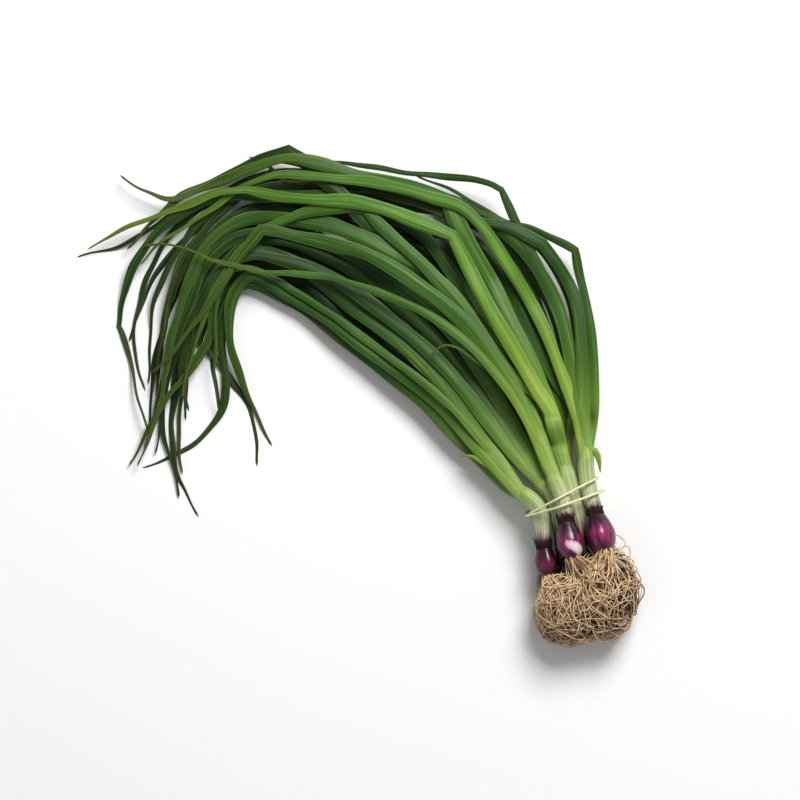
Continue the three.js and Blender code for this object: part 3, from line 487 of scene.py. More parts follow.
def half_width_of(width, along):
    """Half the width of a leaf at these distances from its start."""
    share = along / along[-1]
    opened = np.clip(along / BASE_LENGTH, 0, 1)
    opened = opened**2 * (3 - 2 * opened)
    base = min(LEAF_BASE_HALF, BASE_SHARE * width)
    tip = np.minimum(1, TIP_LEAST + (1 - TIP_LEAST) * ((1 - share) / TIP_SHARE) ** TIP_POWER)
    return np.maximum(LEAST_HALF_WIDTH, (base + (0.5 * width - base) * opened) * tip)


def half_thick_of(half_width, along):
    """Half the thickness of a leaf with this half width."""
    roundness = (NECK_ROUNDNESS - LEAF_FLATNESS) * np.maximum(0, 1 - along / ROUND_LENGTH) ** 2
    return np.maximum(LEAF_TIP_HALF, half_width * (LEAF_FLATNESS + roundness))


def near_folds(along, folds):
    """1 at a fold, fading to 0 a few millimetres from it."""
    nearness = np.zeros_like(along)
    for fold in folds:
        nearness = np.maximum(nearness, np.exp(-(((along - along[fold]) / FOLD_REACH) ** 2)))
    return nearness


print("a leaf 10 mm wide is", round(10 * LEAF_FLATNESS, 1), "mm thick where it has gone flat")


# %% Following a route
def route_line(leaf):
    """The line of a leaf on the table, its directions, and which of its points are folds."""
    stretch = [place[:2] for place in neck_line(plants[leaf.plant], [LEAF_START, LEAF_LEAVES])]
    pieces, directions, folds = [], [], []
    for number, stop in enumerate(leaf.route):
        stretch.append(at(stop)[:2])
        last = number == len(leaf.route) - 1
        if len(stop) == 3 or last:
            fine = smooth_line(stretch, np.linspace(0, 1, 12 * len(stretch)))
            piece = even_steps(fine, STATION_STEP)
            direction = unit(np.gradient(piece, axis=0))
            if pieces:
                directions[-1][-1] = unit(directions[-1][-1] + direction[0])
                piece, direction = piece[1:], direction[1:]
            pieces.append(piece)
            directions.append(direction)
            if not last:
                folds.append(sum(len(p) for p in pieces) - 1)
            stretch = [at(stop)[:2]]
    return np.vstack(pieces), np.vstack(directions), folds


def lay_leaf(leaf):
    """Finds where a leaf comes to rest, adds it to the heap and returns its strip."""
    flat, travel, folds = route_line(leaf)
    along = lengths_along(flat)
    crushed = near_folds(along, folds)
    half_width = half_width_of(leaf.width, along) * (1 - FOLD_PINCH * crushed)
    half_thick = half_thick_of(half_width, along)

    phase, swing = draw.uniform(0, 2 * math.pi), draw.uniform(-LEAN_SWING, LEAN_SWING)
    wave = draw.uniform(*LEAN_LENGTHS)
    settled = np.minimum(1, along / LEAN_FROM) ** 2 * (1 - crushed)
    lean = (swing + LEAN_WAVE * np.sin(2 * math.pi * along / wave + phase)) * settled
    half_thick = half_thick * (1 - FOLD_CRUSH * crushed)
    half_height = np.hypot(half_width * np.sin(lean), half_thick * np.cos(lean))

    start, leaves = neck_line(plants[leaf.plant], [LEAF_START, LEAF_LEAVES])
    neck_end = np.linalg.norm(leaves - start)
    in_neck = np.interp(along, [0, neck_end], [start[2], leaves[2]])
    ceiling = np.where(along < neck_end + BESIDE_NECK, leaves[2] + CLIMB, np.inf)
    line = np.column_stack([flat, np.zeros(len(flat))])
    needed = rest_heights(line, along, half_width, half_height, leaf.plant, ceiling)
    needed = np.where(along > neck_end, needed, in_neck)
    heights = soften(relax(needed, along, neck_end, leaves[2]), 5)
    short = np.maximum(0, needed - heights)
    spread = np.array([short[max(0, i - 6) : i + 7].max() for i in range(len(short))])
    line[:, 2] = heights + soften(spread, 3)
    mark_laid(line, half_width, half_height, leaf.plant)
    pale = neck_end + PALE_LENGTH + MORE_PALE * leaf.tone
    age = np.interp(along, [0, neck_end, pale, along[-1]], [-0.38, -0.14, 0.02, 1])
    ridge, ridge_place = draw.uniform(0.5, 0.95), draw.uniform(-0.45, 0.45)
    return Strip(line, along, travel, half_width, half_thick, lean,
                 age, folds, ridge, ridge_place, leaf.tone)


lengths = [lengths_along(route_line(leaf)[0])[-1] for leaf in LOWER_LEAVES + UPPER_LEAVES]
print("the leaves are", round(min(lengths)), "to", round(max(lengths)), "mm long")


# %% Lay all of them
def mark_neck(plant, number):
    """Adds a neck to the heap."""
    line = neck_line(plant, np.linspace(0, 1, 80))
    round_half = np.full(len(line), NECK_RADIUS)
    mark_laid(line, round_half, round_half, number)


for number in range(4):
    mark_neck(plants[number], number)
strips = [(leaf.plant, lay_leaf(leaf)) for leaf in LOWER_LEAVES]
for number in range(4, len(plants)):
    mark_neck(plants[number], number)
strips += [(leaf.plant, lay_leaf(leaf)) for leaf in UPPER_LEAVES]
print("the highest leaf lies", round(max(strip.line[:, 2].max() for _, strip in strips), 1), "mm up")

# %% [markdown]
# ## A skin from a rolled grid
#
# Necks and leaves are tubes of changing section. A flat grid is added as one mesh, and each corner
# is moved to its place on the tube: across the grid is once round the tube, and up the grid is from
# one end to the other. The seam and the two pinched ends are then merged, which closes the skin.
# The grid brings its own UV map, and each corner keeps a few painted values, such as how far along
# the leaf it is, which the materials read later.

# %% Rolling a grid
MERGE_REACH = 1e-6  # corners nearer than this, in metres, become one


def select_only(piece):
    """Makes this the only selected object, and the active one."""
    bpy.ops.object.select_all(action="DESELECT")
    piece.select_set(True)
    bpy.context.view_layer.objects.active = piece


def read_corners(piece):
    """The corners of a mesh, as rows of an array."""
    corners = np.zeros(3 * len(piece.data.vertices))
    piece.data.vertices.foreach_get("co", corners)
    return corners.reshape(-1, 3)


def write_corners(piece, millimetres):
    """Puts the corners of a mesh at these places."""
    piece.data.vertices.foreach_set("co", (np.asarray(millimetres) * MM).ravel())
    piece.data.update()


def paint(piece, name, values):
    """Stores a number or a vector with each corner of a mesh."""
    values = np.asarray(values, float)
    kind, key = ("FLOAT", "value") if values.ndim == 1 else ("FLOAT_VECTOR", "vector")
    layer = piece.data.attributes.new(name, kind, "POINT")
    layer.data.foreach_set(key, values.ravel())


def merge_and_turn_out(piece):
    """Merges corners that meet and turns all faces outwards."""
    select_only(piece)
    bpy.ops.object.mode_set(mode="EDIT")
    bpy.ops.mesh.select_all(action="SELECT")
    bpy.ops.mesh.remove_doubles(threshold=MERGE_REACH)
    bpy.ops.mesh.normals_make_consistent(inside=False)
    bpy.ops.object.mode_set(mode="OBJECT")


def added(primitive, **settings):
    """Adds a primitive while nothing else is selected, and returns it."""
    bpy.ops.object.select_all(action="DESELECT")
    primitive(**settings)
    return bpy.context.active_object


def rolled_skin(name, sides, rings, place):
    """A tube from a grid. place(turn, line) returns each corner's place and its painted values."""
    piece = added(bpy.ops.mesh.primitive_grid_add, x_subdivisions=sides, y_subdivisions=rings - 1, size=1)
    piece.name = name
    share = read_corners(piece) + 0.5
    places, painted = place(share[:, 0], share[:, 1])
    write_corners(piece, places)
    for key, values in painted.items():
        paint(piece, key, values)
    merge_and_turn_out(piece)
    bpy.ops.object.shade_smooth()
    return piece


def join_as(name, pieces):
    """Joins pieces into one object of this name."""
    select_only(pieces[0])
    for piece in pieces:
        piece.select_set(True)
    bpy.ops.object.join()
    whole = bpy.context.active_object
    whole.name = name
    return whole


# %% [markdown]
# ## Leaves
#
# Each leaf is one rolled grid with a ring every three millimetres. At a fold the rings before and
# after it meet on the plane that halves the corner, as two pieces of a picture frame do, so the
# skin neither tears nor runs through itself.

# %% One leaf
LEAF_SIDES = 28
LEAST_HEIGHT = 0.05  # no corner of a leaf is lower than this over the table
RING_EVERY = 3  # stations from one ring to the next
TIP_TAPER = 3.0  # the last millimetres of a leaf, which close to a point
CREASE_DEPTH, CREASE_PLACE, CREASE_HALF = 0.3, 0.45, 0.14
BELLY = 0.85  # how far the underside bulges, against the back
SECTION_POWER = 0.9  # below 1 the edges of a leaf are fuller than an ellipse
FOLD_NEAR = 14  # rings this near to a fold are kept on their own side of it
LEAST_FACING = 0.3  # a ring that runs nearly along the fold is moved no further than this allows
EDGE_WAVE, LIMP_EDGE_WAVE = 0.05, 0.12  # the width waves by this share, and more where the leaf is limp
SWAY, LIMP_SWAY, SHIVER = 0.35, 0.75, 0.3  # and the leaf wanders by these millimetres
RIDGE_FROM, RIDGE_LENGTH = 10, 60  # the ridge rises over this length, from this far along


def leaf_section(turn, ridge, ridge_place):
    """Places on the outline of a leaf of half width 1 and half thickness 1."""
    angle = 2 * math.pi * turn
    q = np.cos(angle)
    q = np.sign(q) * np.abs(q) ** SECTION_POWER
    bow = np.abs(np.sin(angle))
    roof = np.where(q > ridge_place, (1 - q) / (1 - ridge_place), (1 + q) / (1 + ridge_place))
    beside = q + np.sign(ridge_place) * CREASE_PLACE
    crease = CREASE_DEPTH * np.exp(-((beside / CREASE_HALF) ** 2))
    back = (1 - ridge) * bow + ridge * (roof - crease)
    return q, np.where(np.sin(angle) >= 0, back, -BELLY * bow)


def ring_stations(strip):
    """The stations that get a ring, every fold among them."""
    stops = [0, *strip.folds, len(strip.along) - 1]
    kept = []
    for first, last in zip(stops, stops[1:]):
        count = max(2, round((last - first) / RING_EVERY))
        kept.extend(np.linspace(first, last, count, endpoint=False).round().astype(int))
    return np.array([*kept, stops[-1]])


def meet_at_fold(places, travel, station, strip):
    """Keeps what lies before a fold on its side of the corner, and what lies after it on the other."""
    for fold in strip.folds:
        corner = strip.line[fold, :2]
        plane = strip.travel[fold]
        past = (places[:, :2] - corner) @ plane
        reach = np.abs(strip.along[station] - strip.along[fold]) < FOLD_NEAR
        facing = np.maximum(LEAST_FACING, travel @ plane)
        wrong = reach & (((station < fold) & (past > 0)) | ((station > fold) & (past < 0)))
        places[wrong, :2] -= (travel * (past / facing)[:, None])[wrong]
    return places


def leaf_skin(strip, name, order):
    """The skin of one leaf. The order runs from 0 for the lowest leaf to 1 for the topmost."""
    stations = ring_stations(strip)
    slope = np.gradient(strip.line[:, 2], strip.along)
    phase = 40 * strip.ridge
    limp = np.clip(strip.along / strip.along[-1] * 2 - 0.6, 0, 1)
    wobble = 1 + (EDGE_WAVE + LIMP_EDGE_WAVE * limp) * np.sin(strip.along / 8 + phase)
    wobble += EDGE_WAVE * np.sin(strip.along / 23 + 2 * phase)
    sway = (SWAY + LIMP_SWAY * limp) * np.sin(strip.along / 13 + phase) * np.clip(strip.along / 150, 0, 1)
    sway += SHIVER * limp * np.sin(strip.along / 4.7 + 3 * phase)
    ridged = strip.ridge * np.clip((strip.along - RIDGE_FROM) / RIDGE_LENGTH, 0, 1)

    def place(turn, line):
        station = stations[np.round(line * (len(stations) - 1)).astype(int)]
        q, r = leaf_section(turn, ridged[station], strip.ridge_place)
        travel = strip.travel[station]
        side = np.column_stack([travel[:, 1], -travel[:, 0], np.zeros(len(travel))])
        ahead = unit(np.column_stack([travel, slope[station]]))
        over = np.cross(side, ahead)
        lean = strip.lean[station][:, None]
        left_in = strip.along[-1] - strip.along[station]
        closing = np.sqrt(np.clip(np.minimum(left_in, strip.along[station]) / TIP_TAPER, 0, 1))
        lateral = (q * strip.half_width[station] * wobble[station] * closing + sway[station])[:, None]
        upward = (r * strip.half_thick[station] * closing)[:, None]
        places = strip.line[station] + (side * np.cos(lean) + over * np.sin(lean)) * lateral
        places += (over * np.cos(lean) - side * np.sin(lean)) * upward
        places = meet_at_fold(places, travel, station, strip)
        places[:, 2] = np.maximum(places[:, 2], LEAST_HEIGHT)
        grain = np.column_stack([q, r, strip.along[station] / 10 + phase])
        # order sets how much painted shade the leaf finish gives a leaf; ridge places the painted highlight
        # along its back
        painted = {"share": strip.age[station], "tone": np.full(len(turn), strip.tone), "grain": grain,
                   "order": np.full(len(turn), order), "ridge": np.abs(q - strip.ridge_place)}
        return places, painted

    return rolled_skin(name, LEAF_SIDES, len(stations), place)


print("the lowest leaf gets", len(ring_stations(strips[0][1])), "rings of", LEAF_SIDES, "corners")

# %% [markdown]
# ## Necks
#
# A neck is the leaves' own sheaths, wrapped round each other. It is a nearly round tube with fine
# lines along it. At its upper end the outermost sheath opens in a slanting rim, with the leaves
# coming out of it, and it ends in a rounded point between them.

# %% One neck
NECK_SIDES = 36
NECK_RINGS = 44
SKIN_REACH = {4: 1.0, 7: 1.0, 8: 1.0}  # the power that draws dark skin up these necks, counted from 0
OTHER_SKIN_REACH = 2.4  # it reaches further up the others, which are hidden in the bunch
RIM_LENGTH, RIM_SLANT = 0.1, 0.14  # shares of a neck over which its rim closes, and slants
NECK_FOOT = 0.02  # and over which its lower end closes
NECK_LINES = 0.012  # height of the fine lines along it, as a share of its radius


def neck_skin(plant, number):
    """The skin of one neck."""
    slant = 2 * math.pi * (number * 0.37 % 1)

    def place(turn, line):
        angle = 2 * math.pi * turn
        ahead = unit(neck_line(plant, line + 0.01) - neck_line(plant, line - 0.01))
        side = unit(np.cross(ahead, (0.0, 0.0, 1.0)))
        above = np.cross(side, ahead)
        rim = 1 + 0.5 * np.cos(angle - slant)
        radius = neck_radius(line) * np.sqrt(np.clip((1 - line) / (RIM_LENGTH + RIM_SLANT * rim), 0, 1))
        radius = radius * np.sqrt(np.clip(line / NECK_FOOT, 0, 1))
        radius = radius * (1 + NECK_LINES * np.cos(7 * angle + 3 * line))
        places = neck_line(plant, line) + side * (radius * np.cos(angle))[:, None]
        places += above * (radius * np.sin(angle))[:, None]
        length = lengths_along(neck_points(plant))[-1]
        grain = np.column_stack([1.4 * np.cos(angle), 1.4 * np.sin(angle), line * length / 10 + 7 * number])
        skin = np.where(line < 0.5, 0.5 * (2 * line) ** SKIN_REACH.get(number, OTHER_SKIN_REACH), line)
        painted = {"share": skin - 1, "grain": grain,
                   "tone": np.full(len(turn), 0.3 + 0.05 * number),
                   "order": np.ones(len(turn)), "ridge": np.ones(len(turn))}
        return places, painted

    return rolled_skin(f"neck_{number + 1}", NECK_SIDES, NECK_RINGS, place)


print("a neck gets", NECK_RINGS, "rings of", NECK_SIDES, "corners")

# %% Join each neck with its leaves
greens = []
for number, plant in enumerate(plants):
    skins = [neck_skin(plant, number)]
    own = [(place / len(strips), strip) for place, (owner, strip) in enumerate(strips) if owner == number]
    skins += [leaf_skin(strip, f"leaf_{number + 1}_{k + 1}", order) for k, (order, strip) in enumerate(own)]
    green = join_as(f"neck_and_leaves_{number + 1}", skins)
    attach(green, "root")
    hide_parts(f"onion_{number + 1}_leaves")
    greens.append(green)
    print(green.name, len(own), "leaves,", len(green.data.polygons), "faces")

# %% [markdown]
# ## Bulbs
#
# A bulb is turned in shape: a flat root plate, a round belly and a long shoulder that draws in to
# the collar. A sphere has the same rings and meridians, so each of its corners is moved to the
# outline at its own ring. Real bulbs are never quite round, so a few soft lengthwise swellings are
# added, as from the scales inside.

# %% One bulb
BULB_OUTLINE = [(0, -1.18), (0.4, -1.16), (0.8, -0.78), (1, -0.12), (0.96, 0.42), (0.79, 1.0),
                (0.6, 1.5), (0.54, 1.75), (0, 1.76)]
DARKNESS = {4: 0.65, 7: 0.1, 8: 0.25}  # how dark the topmost bulbs are, counted from 0
OTHER_DARKNESS = 0.6
BARE_BULB = 8  # the topmost bulb, whose purple skin has come off in one place
BARE_ANGLE, BARE_HEIGHT, BARE_SIZE = 1.55, -0.5, 0.85  # where that is, and how large
SWELLINGS, FINE_SWELLINGS = 0.03, 0.012  # height of the lengthwise swellings, as shares of the radius
BULB_SEGMENTS = 56
BULB_RINGS = 40


def bulb_frame(plant):
    """The middle of a bulb, the way to the band and two ways across it, the second pointing up."""
    bulb = at(plant.bulb, plant.height)
    axis = unit(at(plant.tie, plant.tie_height) - bulb)
    side = unit(np.cross(axis, (0.0, 0.0, 1.0)))
    return bulb, axis, side, np.cross(side, axis)


def round_bulb(plant, up, radius, angle):
    """Places this far up the axis of a bulb and this far out from it, in millimetres."""
    bulb, axis, side, over = bulb_frame(plant)
    places = bulb + np.outer(up, axis)
    return places + np.outer(radius * np.cos(angle), side) + np.outer(radius * np.sin(angle), over)


def bulb_skin(plant, number):
    """The skin of one bulb, in place."""
    piece = added(bpy.ops.mesh.primitive_uv_sphere_add,
                  segments=BULB_SEGMENTS, ring_count=BULB_RINGS, radius=1)
    ball = read_corners(piece)
    angle = np.arctan2(ball[:, 1], ball[:, 0])
    line = 1 - np.arccos(np.clip(ball[:, 2], -1, 1)) / math.pi
    outline = even_steps(smooth_line(BULB_OUTLINE, np.linspace(0, 1, 120)), 0.03)
    shares = lengths_along(outline) / lengths_along(outline)[-1]
    radius = np.interp(line, shares, outline[:, 0])
    height = np.interp(line, shares, outline[:, 1])
    scales = 1 + SWELLINGS * np.cos(3 * angle + number) + FINE_SWELLINGS * np.cos(8 * angle + 2 * number)
    radius = np.maximum(0, radius) * scales * plant.radius
    write_corners(piece, round_bulb(plant, height * plant.radius, radius, angle))
    paint(piece, "height", height)
    paint(piece, "grain", np.column_stack([np.cos(angle), np.sin(angle), height + 5 * number]))
    paint(piece, "bare", bare_patch(angle, height, number))
    paint(piece, "dark", np.full(len(angle), DARKNESS.get(number, OTHER_DARKNESS)))
    merge_and_turn_out(piece)
    bpy.ops.object.shade_smooth()
    piece.name = f"bulb_{number + 1}"
    return piece


def bare_patch(angle, height, number):
    """1 where the purple skin is gone and the pale flesh shows."""
    if number != BARE_BULB:
        return np.zeros_like(angle)
    away = np.hypot((angle - BARE_ANGLE - height) / BARE_SIZE, (height - BARE_HEIGHT) / BARE_SIZE)
    return np.clip(1.6 * (1 - away), 0, 1)


print("a bulb gets", BULB_RINGS, "rings of", BULB_SEGMENTS, "faces")

# %% All the bulbs
bulbs = []
for number, plant in enumerate(plants):
    bulb = bulb_skin(plant, number)
    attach(bulb, "root")
    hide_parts(f"onion_{number + 1}_bulb")
    bulbs.append(bulb)
print(len(bulbs), "bulbs of", len(bulbs[0].data.polygons), "faces")

# %% [markdown]
# ## Papery collars
#
# The outermost scales of an onion dry to a dark paper that is torn off ragged where the neck
# begins. Each collar is a grid rolled into a short sleeve over the join of bulb and neck. Its upper
# edge is cut into uneven teeth, and a Solidify modifier gives it the thickness of paper.

# %% One collar
COLLAR_SIDES = 64
COLLAR_RINGS = 10
COLLAR_FOOT = 3.0  # how far they reach down over the bulb
PAPER = 0.25
DEEP_COLLAR = {4: 6.5, 7: 4.2, 8: 5.0}  # how far these collars, counted from 0, reach up the neck
OTHER_COLLARS = 3.0
TEETH, CURL = (0.35, 1.0), (0.0, 0.7)  # shares of that reach, and millimetres that the edge curls out
COLLAR_FLARE, COLLAR_GRIP = 0.45, 0.15  # how far a collar stands off at its edge, and bites in at its foot


def thicken(piece, wall, offset):
    """Gives a sheet this thickness in millimetres, outwards at offset 1 and inwards at -1."""
    select_only(piece)
    solid = piece.modifiers.new("wall", "SOLIDIFY")
    solid.thickness = wall * MM
    solid.offset = offset
    bpy.ops.object.modifier_apply(modifier=solid.name)


def collar_skin(plant, number):
    """A ragged sleeve round the collar of one bulb."""
    reach_up = DEEP_COLLAR.get(number, OTHER_COLLARS)
    torn = np.cos(2 * math.pi * np.arange(COLLAR_SIDES) / COLLAR_SIDES * 3 + number)
    teeth = draw.uniform(*TEETH, COLLAR_SIDES) * (0.6 + 0.4 * torn)
    curl = draw.uniform(*CURL, COLLAR_SIDES)
    neck_length = lengths_along(neck_points(plant))[-1]

    def place(turn, line):
        angle = 2 * math.pi * turn
        column = np.round(turn * COLLAR_SIDES).astype(int) % COLLAR_SIDES
        low = BULB_TOP * plant.radius - COLLAR_FOOT
        up = low + line * (COLLAR_FOOT + reach_up * teeth[column])
        beyond = up - BULB_TOP * plant.radius
        on_neck = neck_radius(np.clip(beyond / neck_length, 0, 1))
        on_bulb = plant.radius * np.interp(up / plant.radius, [0.42, 1.06, 1.75], [0.93, 0.7, 0.54])
        radius = np.where(beyond > 0, on_neck, np.maximum(on_bulb, COLLAR_RADIUS))
        radius = radius * (1 + 0.02 * np.cos(5 * angle)) + COLLAR_FLARE * np.sqrt(line) - COLLAR_GRIP
        radius = radius + curl[column] * line**3
        grain = np.column_stack([np.cos(angle), np.sin(angle), up / 10])
        return round_bulb(plant, up, radius, angle), {"grain": grain, "height": line}

    piece = rolled_skin(f"collar_{number + 1}", COLLAR_SIDES, COLLAR_RINGS, place)
    thicken(piece, PAPER, 1)
    return piece


print("the longest collar goes", max(DEEP_COLLAR.values()), "mm up its neck")

# %% All the collars
collars = join_as("papery_collars", [collar_skin(plant, number) for number, plant in enumerate(plants)])
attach(collars, "root")
print("the collars have", len(collars.data.polygons), "faces")

# %% [markdown]
# ## The root mat
#
# Hundreds of roots leave the plates under the bulbs and run over each other. The mat has the shape
# of three tufts that go over into each other. Each root is followed step by step: it keeps its
# heading, drifts at random, tends a little to the front like all the others, and is drawn back when
# it strays from the surface of the mat. Real roots pack in layers, so each has a layer of its own to
# stay in. The lines become a curve object with a round bevel, thinner towards the tips, which is
# then turned into a mesh. Dark lumpy cores fill the inside, so that no light shows through; their
# near black colour, and the dark tone of the inner layers of roots, is painted shade.

# %% The three tufts
Tuft = namedtuple("Tuft", "centre size weight")
tufts = [
    Tuft(at((570, 605), 19), np.array([20.0, 23.0, 22.5]), 0.44),
    Tuft(at((607, 590), 19.5), np.array([20.5, 29.0, 23.0]), 0.44),
    Tuft(at((556, 613), 13.5), np.array([11.5, 17.0, 12.0]), 0.12),
]
BLEND = 9.0  # how softly the surface of one tuft goes over into the next
ROOT_STEPS = 17
ROOT_STEP = 3.4
STRIDES = (0.7, 1.25)  # the shortest and longest stride of a root, in steps
ROOT_PULL = -3.4  # how strongly a root is drawn back to its layer
ROOT_FLATTEN = 0.5  # share of its way outwards that it loses at each step
ROOT_DRIFT = 0.28
OLD_TURN, NEW_TURN = 0.75, 0.66  # shares of the last drift and of a new one at each step
ROOT_TAPER = 0.45  # share of its thickness that a root loses on its way
ROOT_POINTS = 26  # points along the smooth line of a root
COMB = np.array([-0.045, -0.08, 0.0])  # all roots tend a little this way
FLOOR_CLEAR = 0.2
PLATE_DEPTH = 1.05  # distance from a bulb's middle to its root plate, in bulb radii
PLATE_RIM = 0.55  # and the radius of the plate
PLATE_SPREAD = 1.3  # how far the outer roots of a plate spread
SURFACE_START = 0.93  # the other roots start here, as a share of a tuft's size
SURFACE_HEADING = np.array([-0.15, -0.5, 0])  # and tend this way at first
PLATE_SHARES = np.array([0.5, 0.6, 0.5, 0.6, 1.6, 0.9, 0.9, 3.2, 3.0])  # how many roots each plant has


def nearest_tuft(places):
    """How far out of the tufts each place is, 1 on their surface, and the way outwards."""
    local = np.stack([(places - tuft.centre) / tuft.size for tuft in tufts])
    out = np.linalg.norm(local, axis=2)
    ways = unit(np.stack([part / tuft.size for part, tuft in zip(local, tufts)]))
    weight = np.exp(-BLEND * out)
    total = weight.sum(axis=0)
    return -np.log(total) / BLEND, unit((ways * weight[:, :, None]).sum(axis=0))


def run_roots(starts, headings, layer):
    """Follows all roots at once, and returns their points: root, step, place."""
    places, headings = starts.copy(), unit(headings)
    turn = draw.normal(0, 1, starts.shape)
    stride = ROOT_STEP * draw.uniform(*STRIDES, len(starts))[:, None]
    track = [places.copy()]
    for _ in range(ROOT_STEPS):
        turn = OLD_TURN * turn + NEW_TURN * draw.normal(0, 1, starts.shape)
        out, way = nearest_tuft(places)
        pull = ROOT_PULL * (out - layer)[:, None] * way
        outwards = way * np.sum(headings * way, axis=1)[:, None]
        headings = unit(headings + COMB + ROOT_DRIFT * turn + pull - outwards * ROOT_FLATTEN)
        places = places + headings * stride
        track.append(places.copy())
    return np.stack(track, axis=1)


print("the tufts are", [[round(2 * half) for half in tuft.size] for tuft in tufts], "mm across")

# %% Roots from the plates, and roots that cross the mat
def plate_starts(count):
    """Starting places and headings on the root plates, most of them on the bulbs that lie highest."""
    owners = draw.choice(len(plants), count, p=PLATE_SHARES / PLATE_SHARES.sum())
    starts, headings = [], []
    for owner in owners:
        plant = plants[owner]
        bulb, axis, side, over = bulb_frame(plant)
        angle, share = draw.uniform(0, 2 * math.pi), math.sqrt(draw.uniform(0, 1))
        rim = side * math.cos(angle) + over * math.sin(angle)
        plate = bulb - axis * PLATE_DEPTH * plant.radius
        starts.append(plate + rim * PLATE_RIM * plant.radius * share)
        headings.append(rim * PLATE_SPREAD * share - axis + draw.normal(0, 0.25, 3))
    return np.array(starts), np.array(headings)


def surface_starts(count):
    """Starting places all over the tufts, with headings along the surface."""
    ball = unit(draw.normal(0, 1, (count, 3)))
    which = draw.choice(len(tufts), count, p=[tuft.weight for tuft in tufts])
    centre = np.array([tuft.centre for tuft in tufts])[which]
    size = np.array([tuft.size for tuft in tufts])[which]
    starts = centre + ball * size * SURFACE_START
    starts[:, 2] = np.maximum(starts[:, 2], 1)
    headings = np.cross(ball, unit(draw.normal(0, 1, (count, 3)))) + SURFACE_HEADING
    return starts, headings


root_sets = []  # tracks, half thickness and tone of each kind of root
# the two inner layers get dark tones, which is painted shade deep in the mat
for make_starts, count, low, high, half, tone in [  # low and high are the first and last layer
    (surface_starts, 130, 0.80, 0.86, 0.55, 0.10),
    (surface_starts, 130, 0.86, 0.93, 0.48, 0.40),
    (plate_starts, 130, 0.90, 0.98, 0.52, 0.8),
    (plate_starts, 100, 0.94, 1.0, 0.42, 1.0),
    (surface_starts, 60, 0.96, 1.07, 0.36, 0.95),
]:
    starts, headings = make_starts(count)
    layer = draw.uniform(low, high, count)
    root_sets.append((run_roots(starts, headings, layer), half, tone))
print(sum(len(tracks) for tracks, _, _ in root_sets), "roots")

# %% Lines to tubes
def tubes_along(name, tracks, half, closed=False, bevel=1):
    """Round tubes along lines given in millimetres, as one mesh."""
    bpy.ops.object.select_all(action="DESELECT")
    data = bpy.data.curves.new(name, "CURVE")
    data.dimensions = "3D"
    data.bevel_depth = half * MM
    data.bevel_resolution = bevel
    data.use_fill_caps = not closed
    for track in tracks:
        spline = data.splines.new("POLY")
        spline.points.add(len(track) - 1)
        points = np.column_stack([track * MM, np.ones(len(track))])
        spline.points.foreach_set("co", points.ravel())
        thin = 1 - ROOT_TAPER * np.linspace(0, 1, len(track)) ** 2
        spline.points.foreach_set("radius", np.ones(len(track)) if closed else thin)
        spline.use_cyclic_u = closed
    piece = bpy.data.objects.new(name, data)
    bpy.context.collection.objects.link(piece)
    select_only(piece)
    bpy.ops.object.convert(target="MESH")
    bpy.ops.object.shade_smooth()
    return bpy.context.active_object


# %% The core of a tuft
CORE_SHARE = 0.84
CORE_LEAST_HEIGHT = 0.5


def core_of(tuft, number):
    """A lump that fills a tuft, which the root finish paints near black as shade."""
    piece = added(bpy.ops.mesh.primitive_ico_sphere_add, subdivisions=4, radius=1)
    ball = read_corners(piece)
    x, y, z = ball.T
    bumps = 0.05 * np.sin(9 * x + 1) * np.cos(8 * y) + 0.04 * np.sin(13 * z + 5 * x)
    bumps += 0.02 * np.sin(27 * x) * np.sin(25 * y + 2) * np.cos(29 * z)
    places = tuft.centre + ball * tuft.size * (CORE_SHARE * (1 + bumps))[:, None]
    places[:, 2] = np.maximum(places[:, 2], CORE_LEAST_HEIGHT)
    write_corners(piece, places)
    piece.name = f"core_{number + 1}"
    bpy.ops.object.shade_smooth()
    return piece


# %% Join roots and cores
def paint_roots(piece, tone):
    """Paints the tone of a root, which is partly its age and partly painted shade, and how deep in the mat
    each corner lies.
    """
    places = read_corners(piece) / MM
    out, _ = nearest_tuft(places)
    paint(piece, "tone", np.full(len(places), tone))
    paint(piece, "depth", np.clip((out - 0.8) / 0.16, 0, 1))


mat_parts = []
for number, (tracks, half, tone) in enumerate(root_sets):
    lines = [smooth_line(track, np.linspace(0, 1, ROOT_POINTS)) for track in tracks]
    for line in lines:
        line[:, 2] = np.maximum(line[:, 2], half + FLOOR_CLEAR)
    tubes = tubes_along(f"roots_{number + 1}", lines, half)
    paint_roots(tubes, tone)
    mat_parts.append(tubes)
for number, tuft in enumerate(tufts):
    core = core_of(tuft, number)
    # tone 0 paints the cores near black, as painted shade inside the mat
    paint_roots(core, 0.0)
    mat_parts.append(core)
root_mat = join_as("roots", mat_parts)
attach(root_mat, "root")
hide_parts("root_mat")
print("the root mat has", len(root_mat.data.polygons), "faces")

# %% [markdown]
# ## Loose skins
#
# Here and there a flake of the thin outermost skin hangs in the roots, pale and nearly clear. Each
# is a small grid, curled over and crumpled a little, with its corners rounded off and the thickness
# of paper.

# %% Flakes of skin
FLAKE_WALL = 0.2
ARCH, DROOP, CRUMPLE = 2.2, 1.4, 0.5  # how a flake arches across, droops at its ends and crumples
FLAKES = [  # pixel, height, length, width, heading in degrees
    ((540, 604), 22, 13, 7, 80),
    ((541, 617), 20, 10, 6, 110),
    ((622, 619), 30, 10, 6, 60),
    ((617, 630), 22, 9, 5, 20),
    ((553, 634), 12, 8, 4, 150),
]


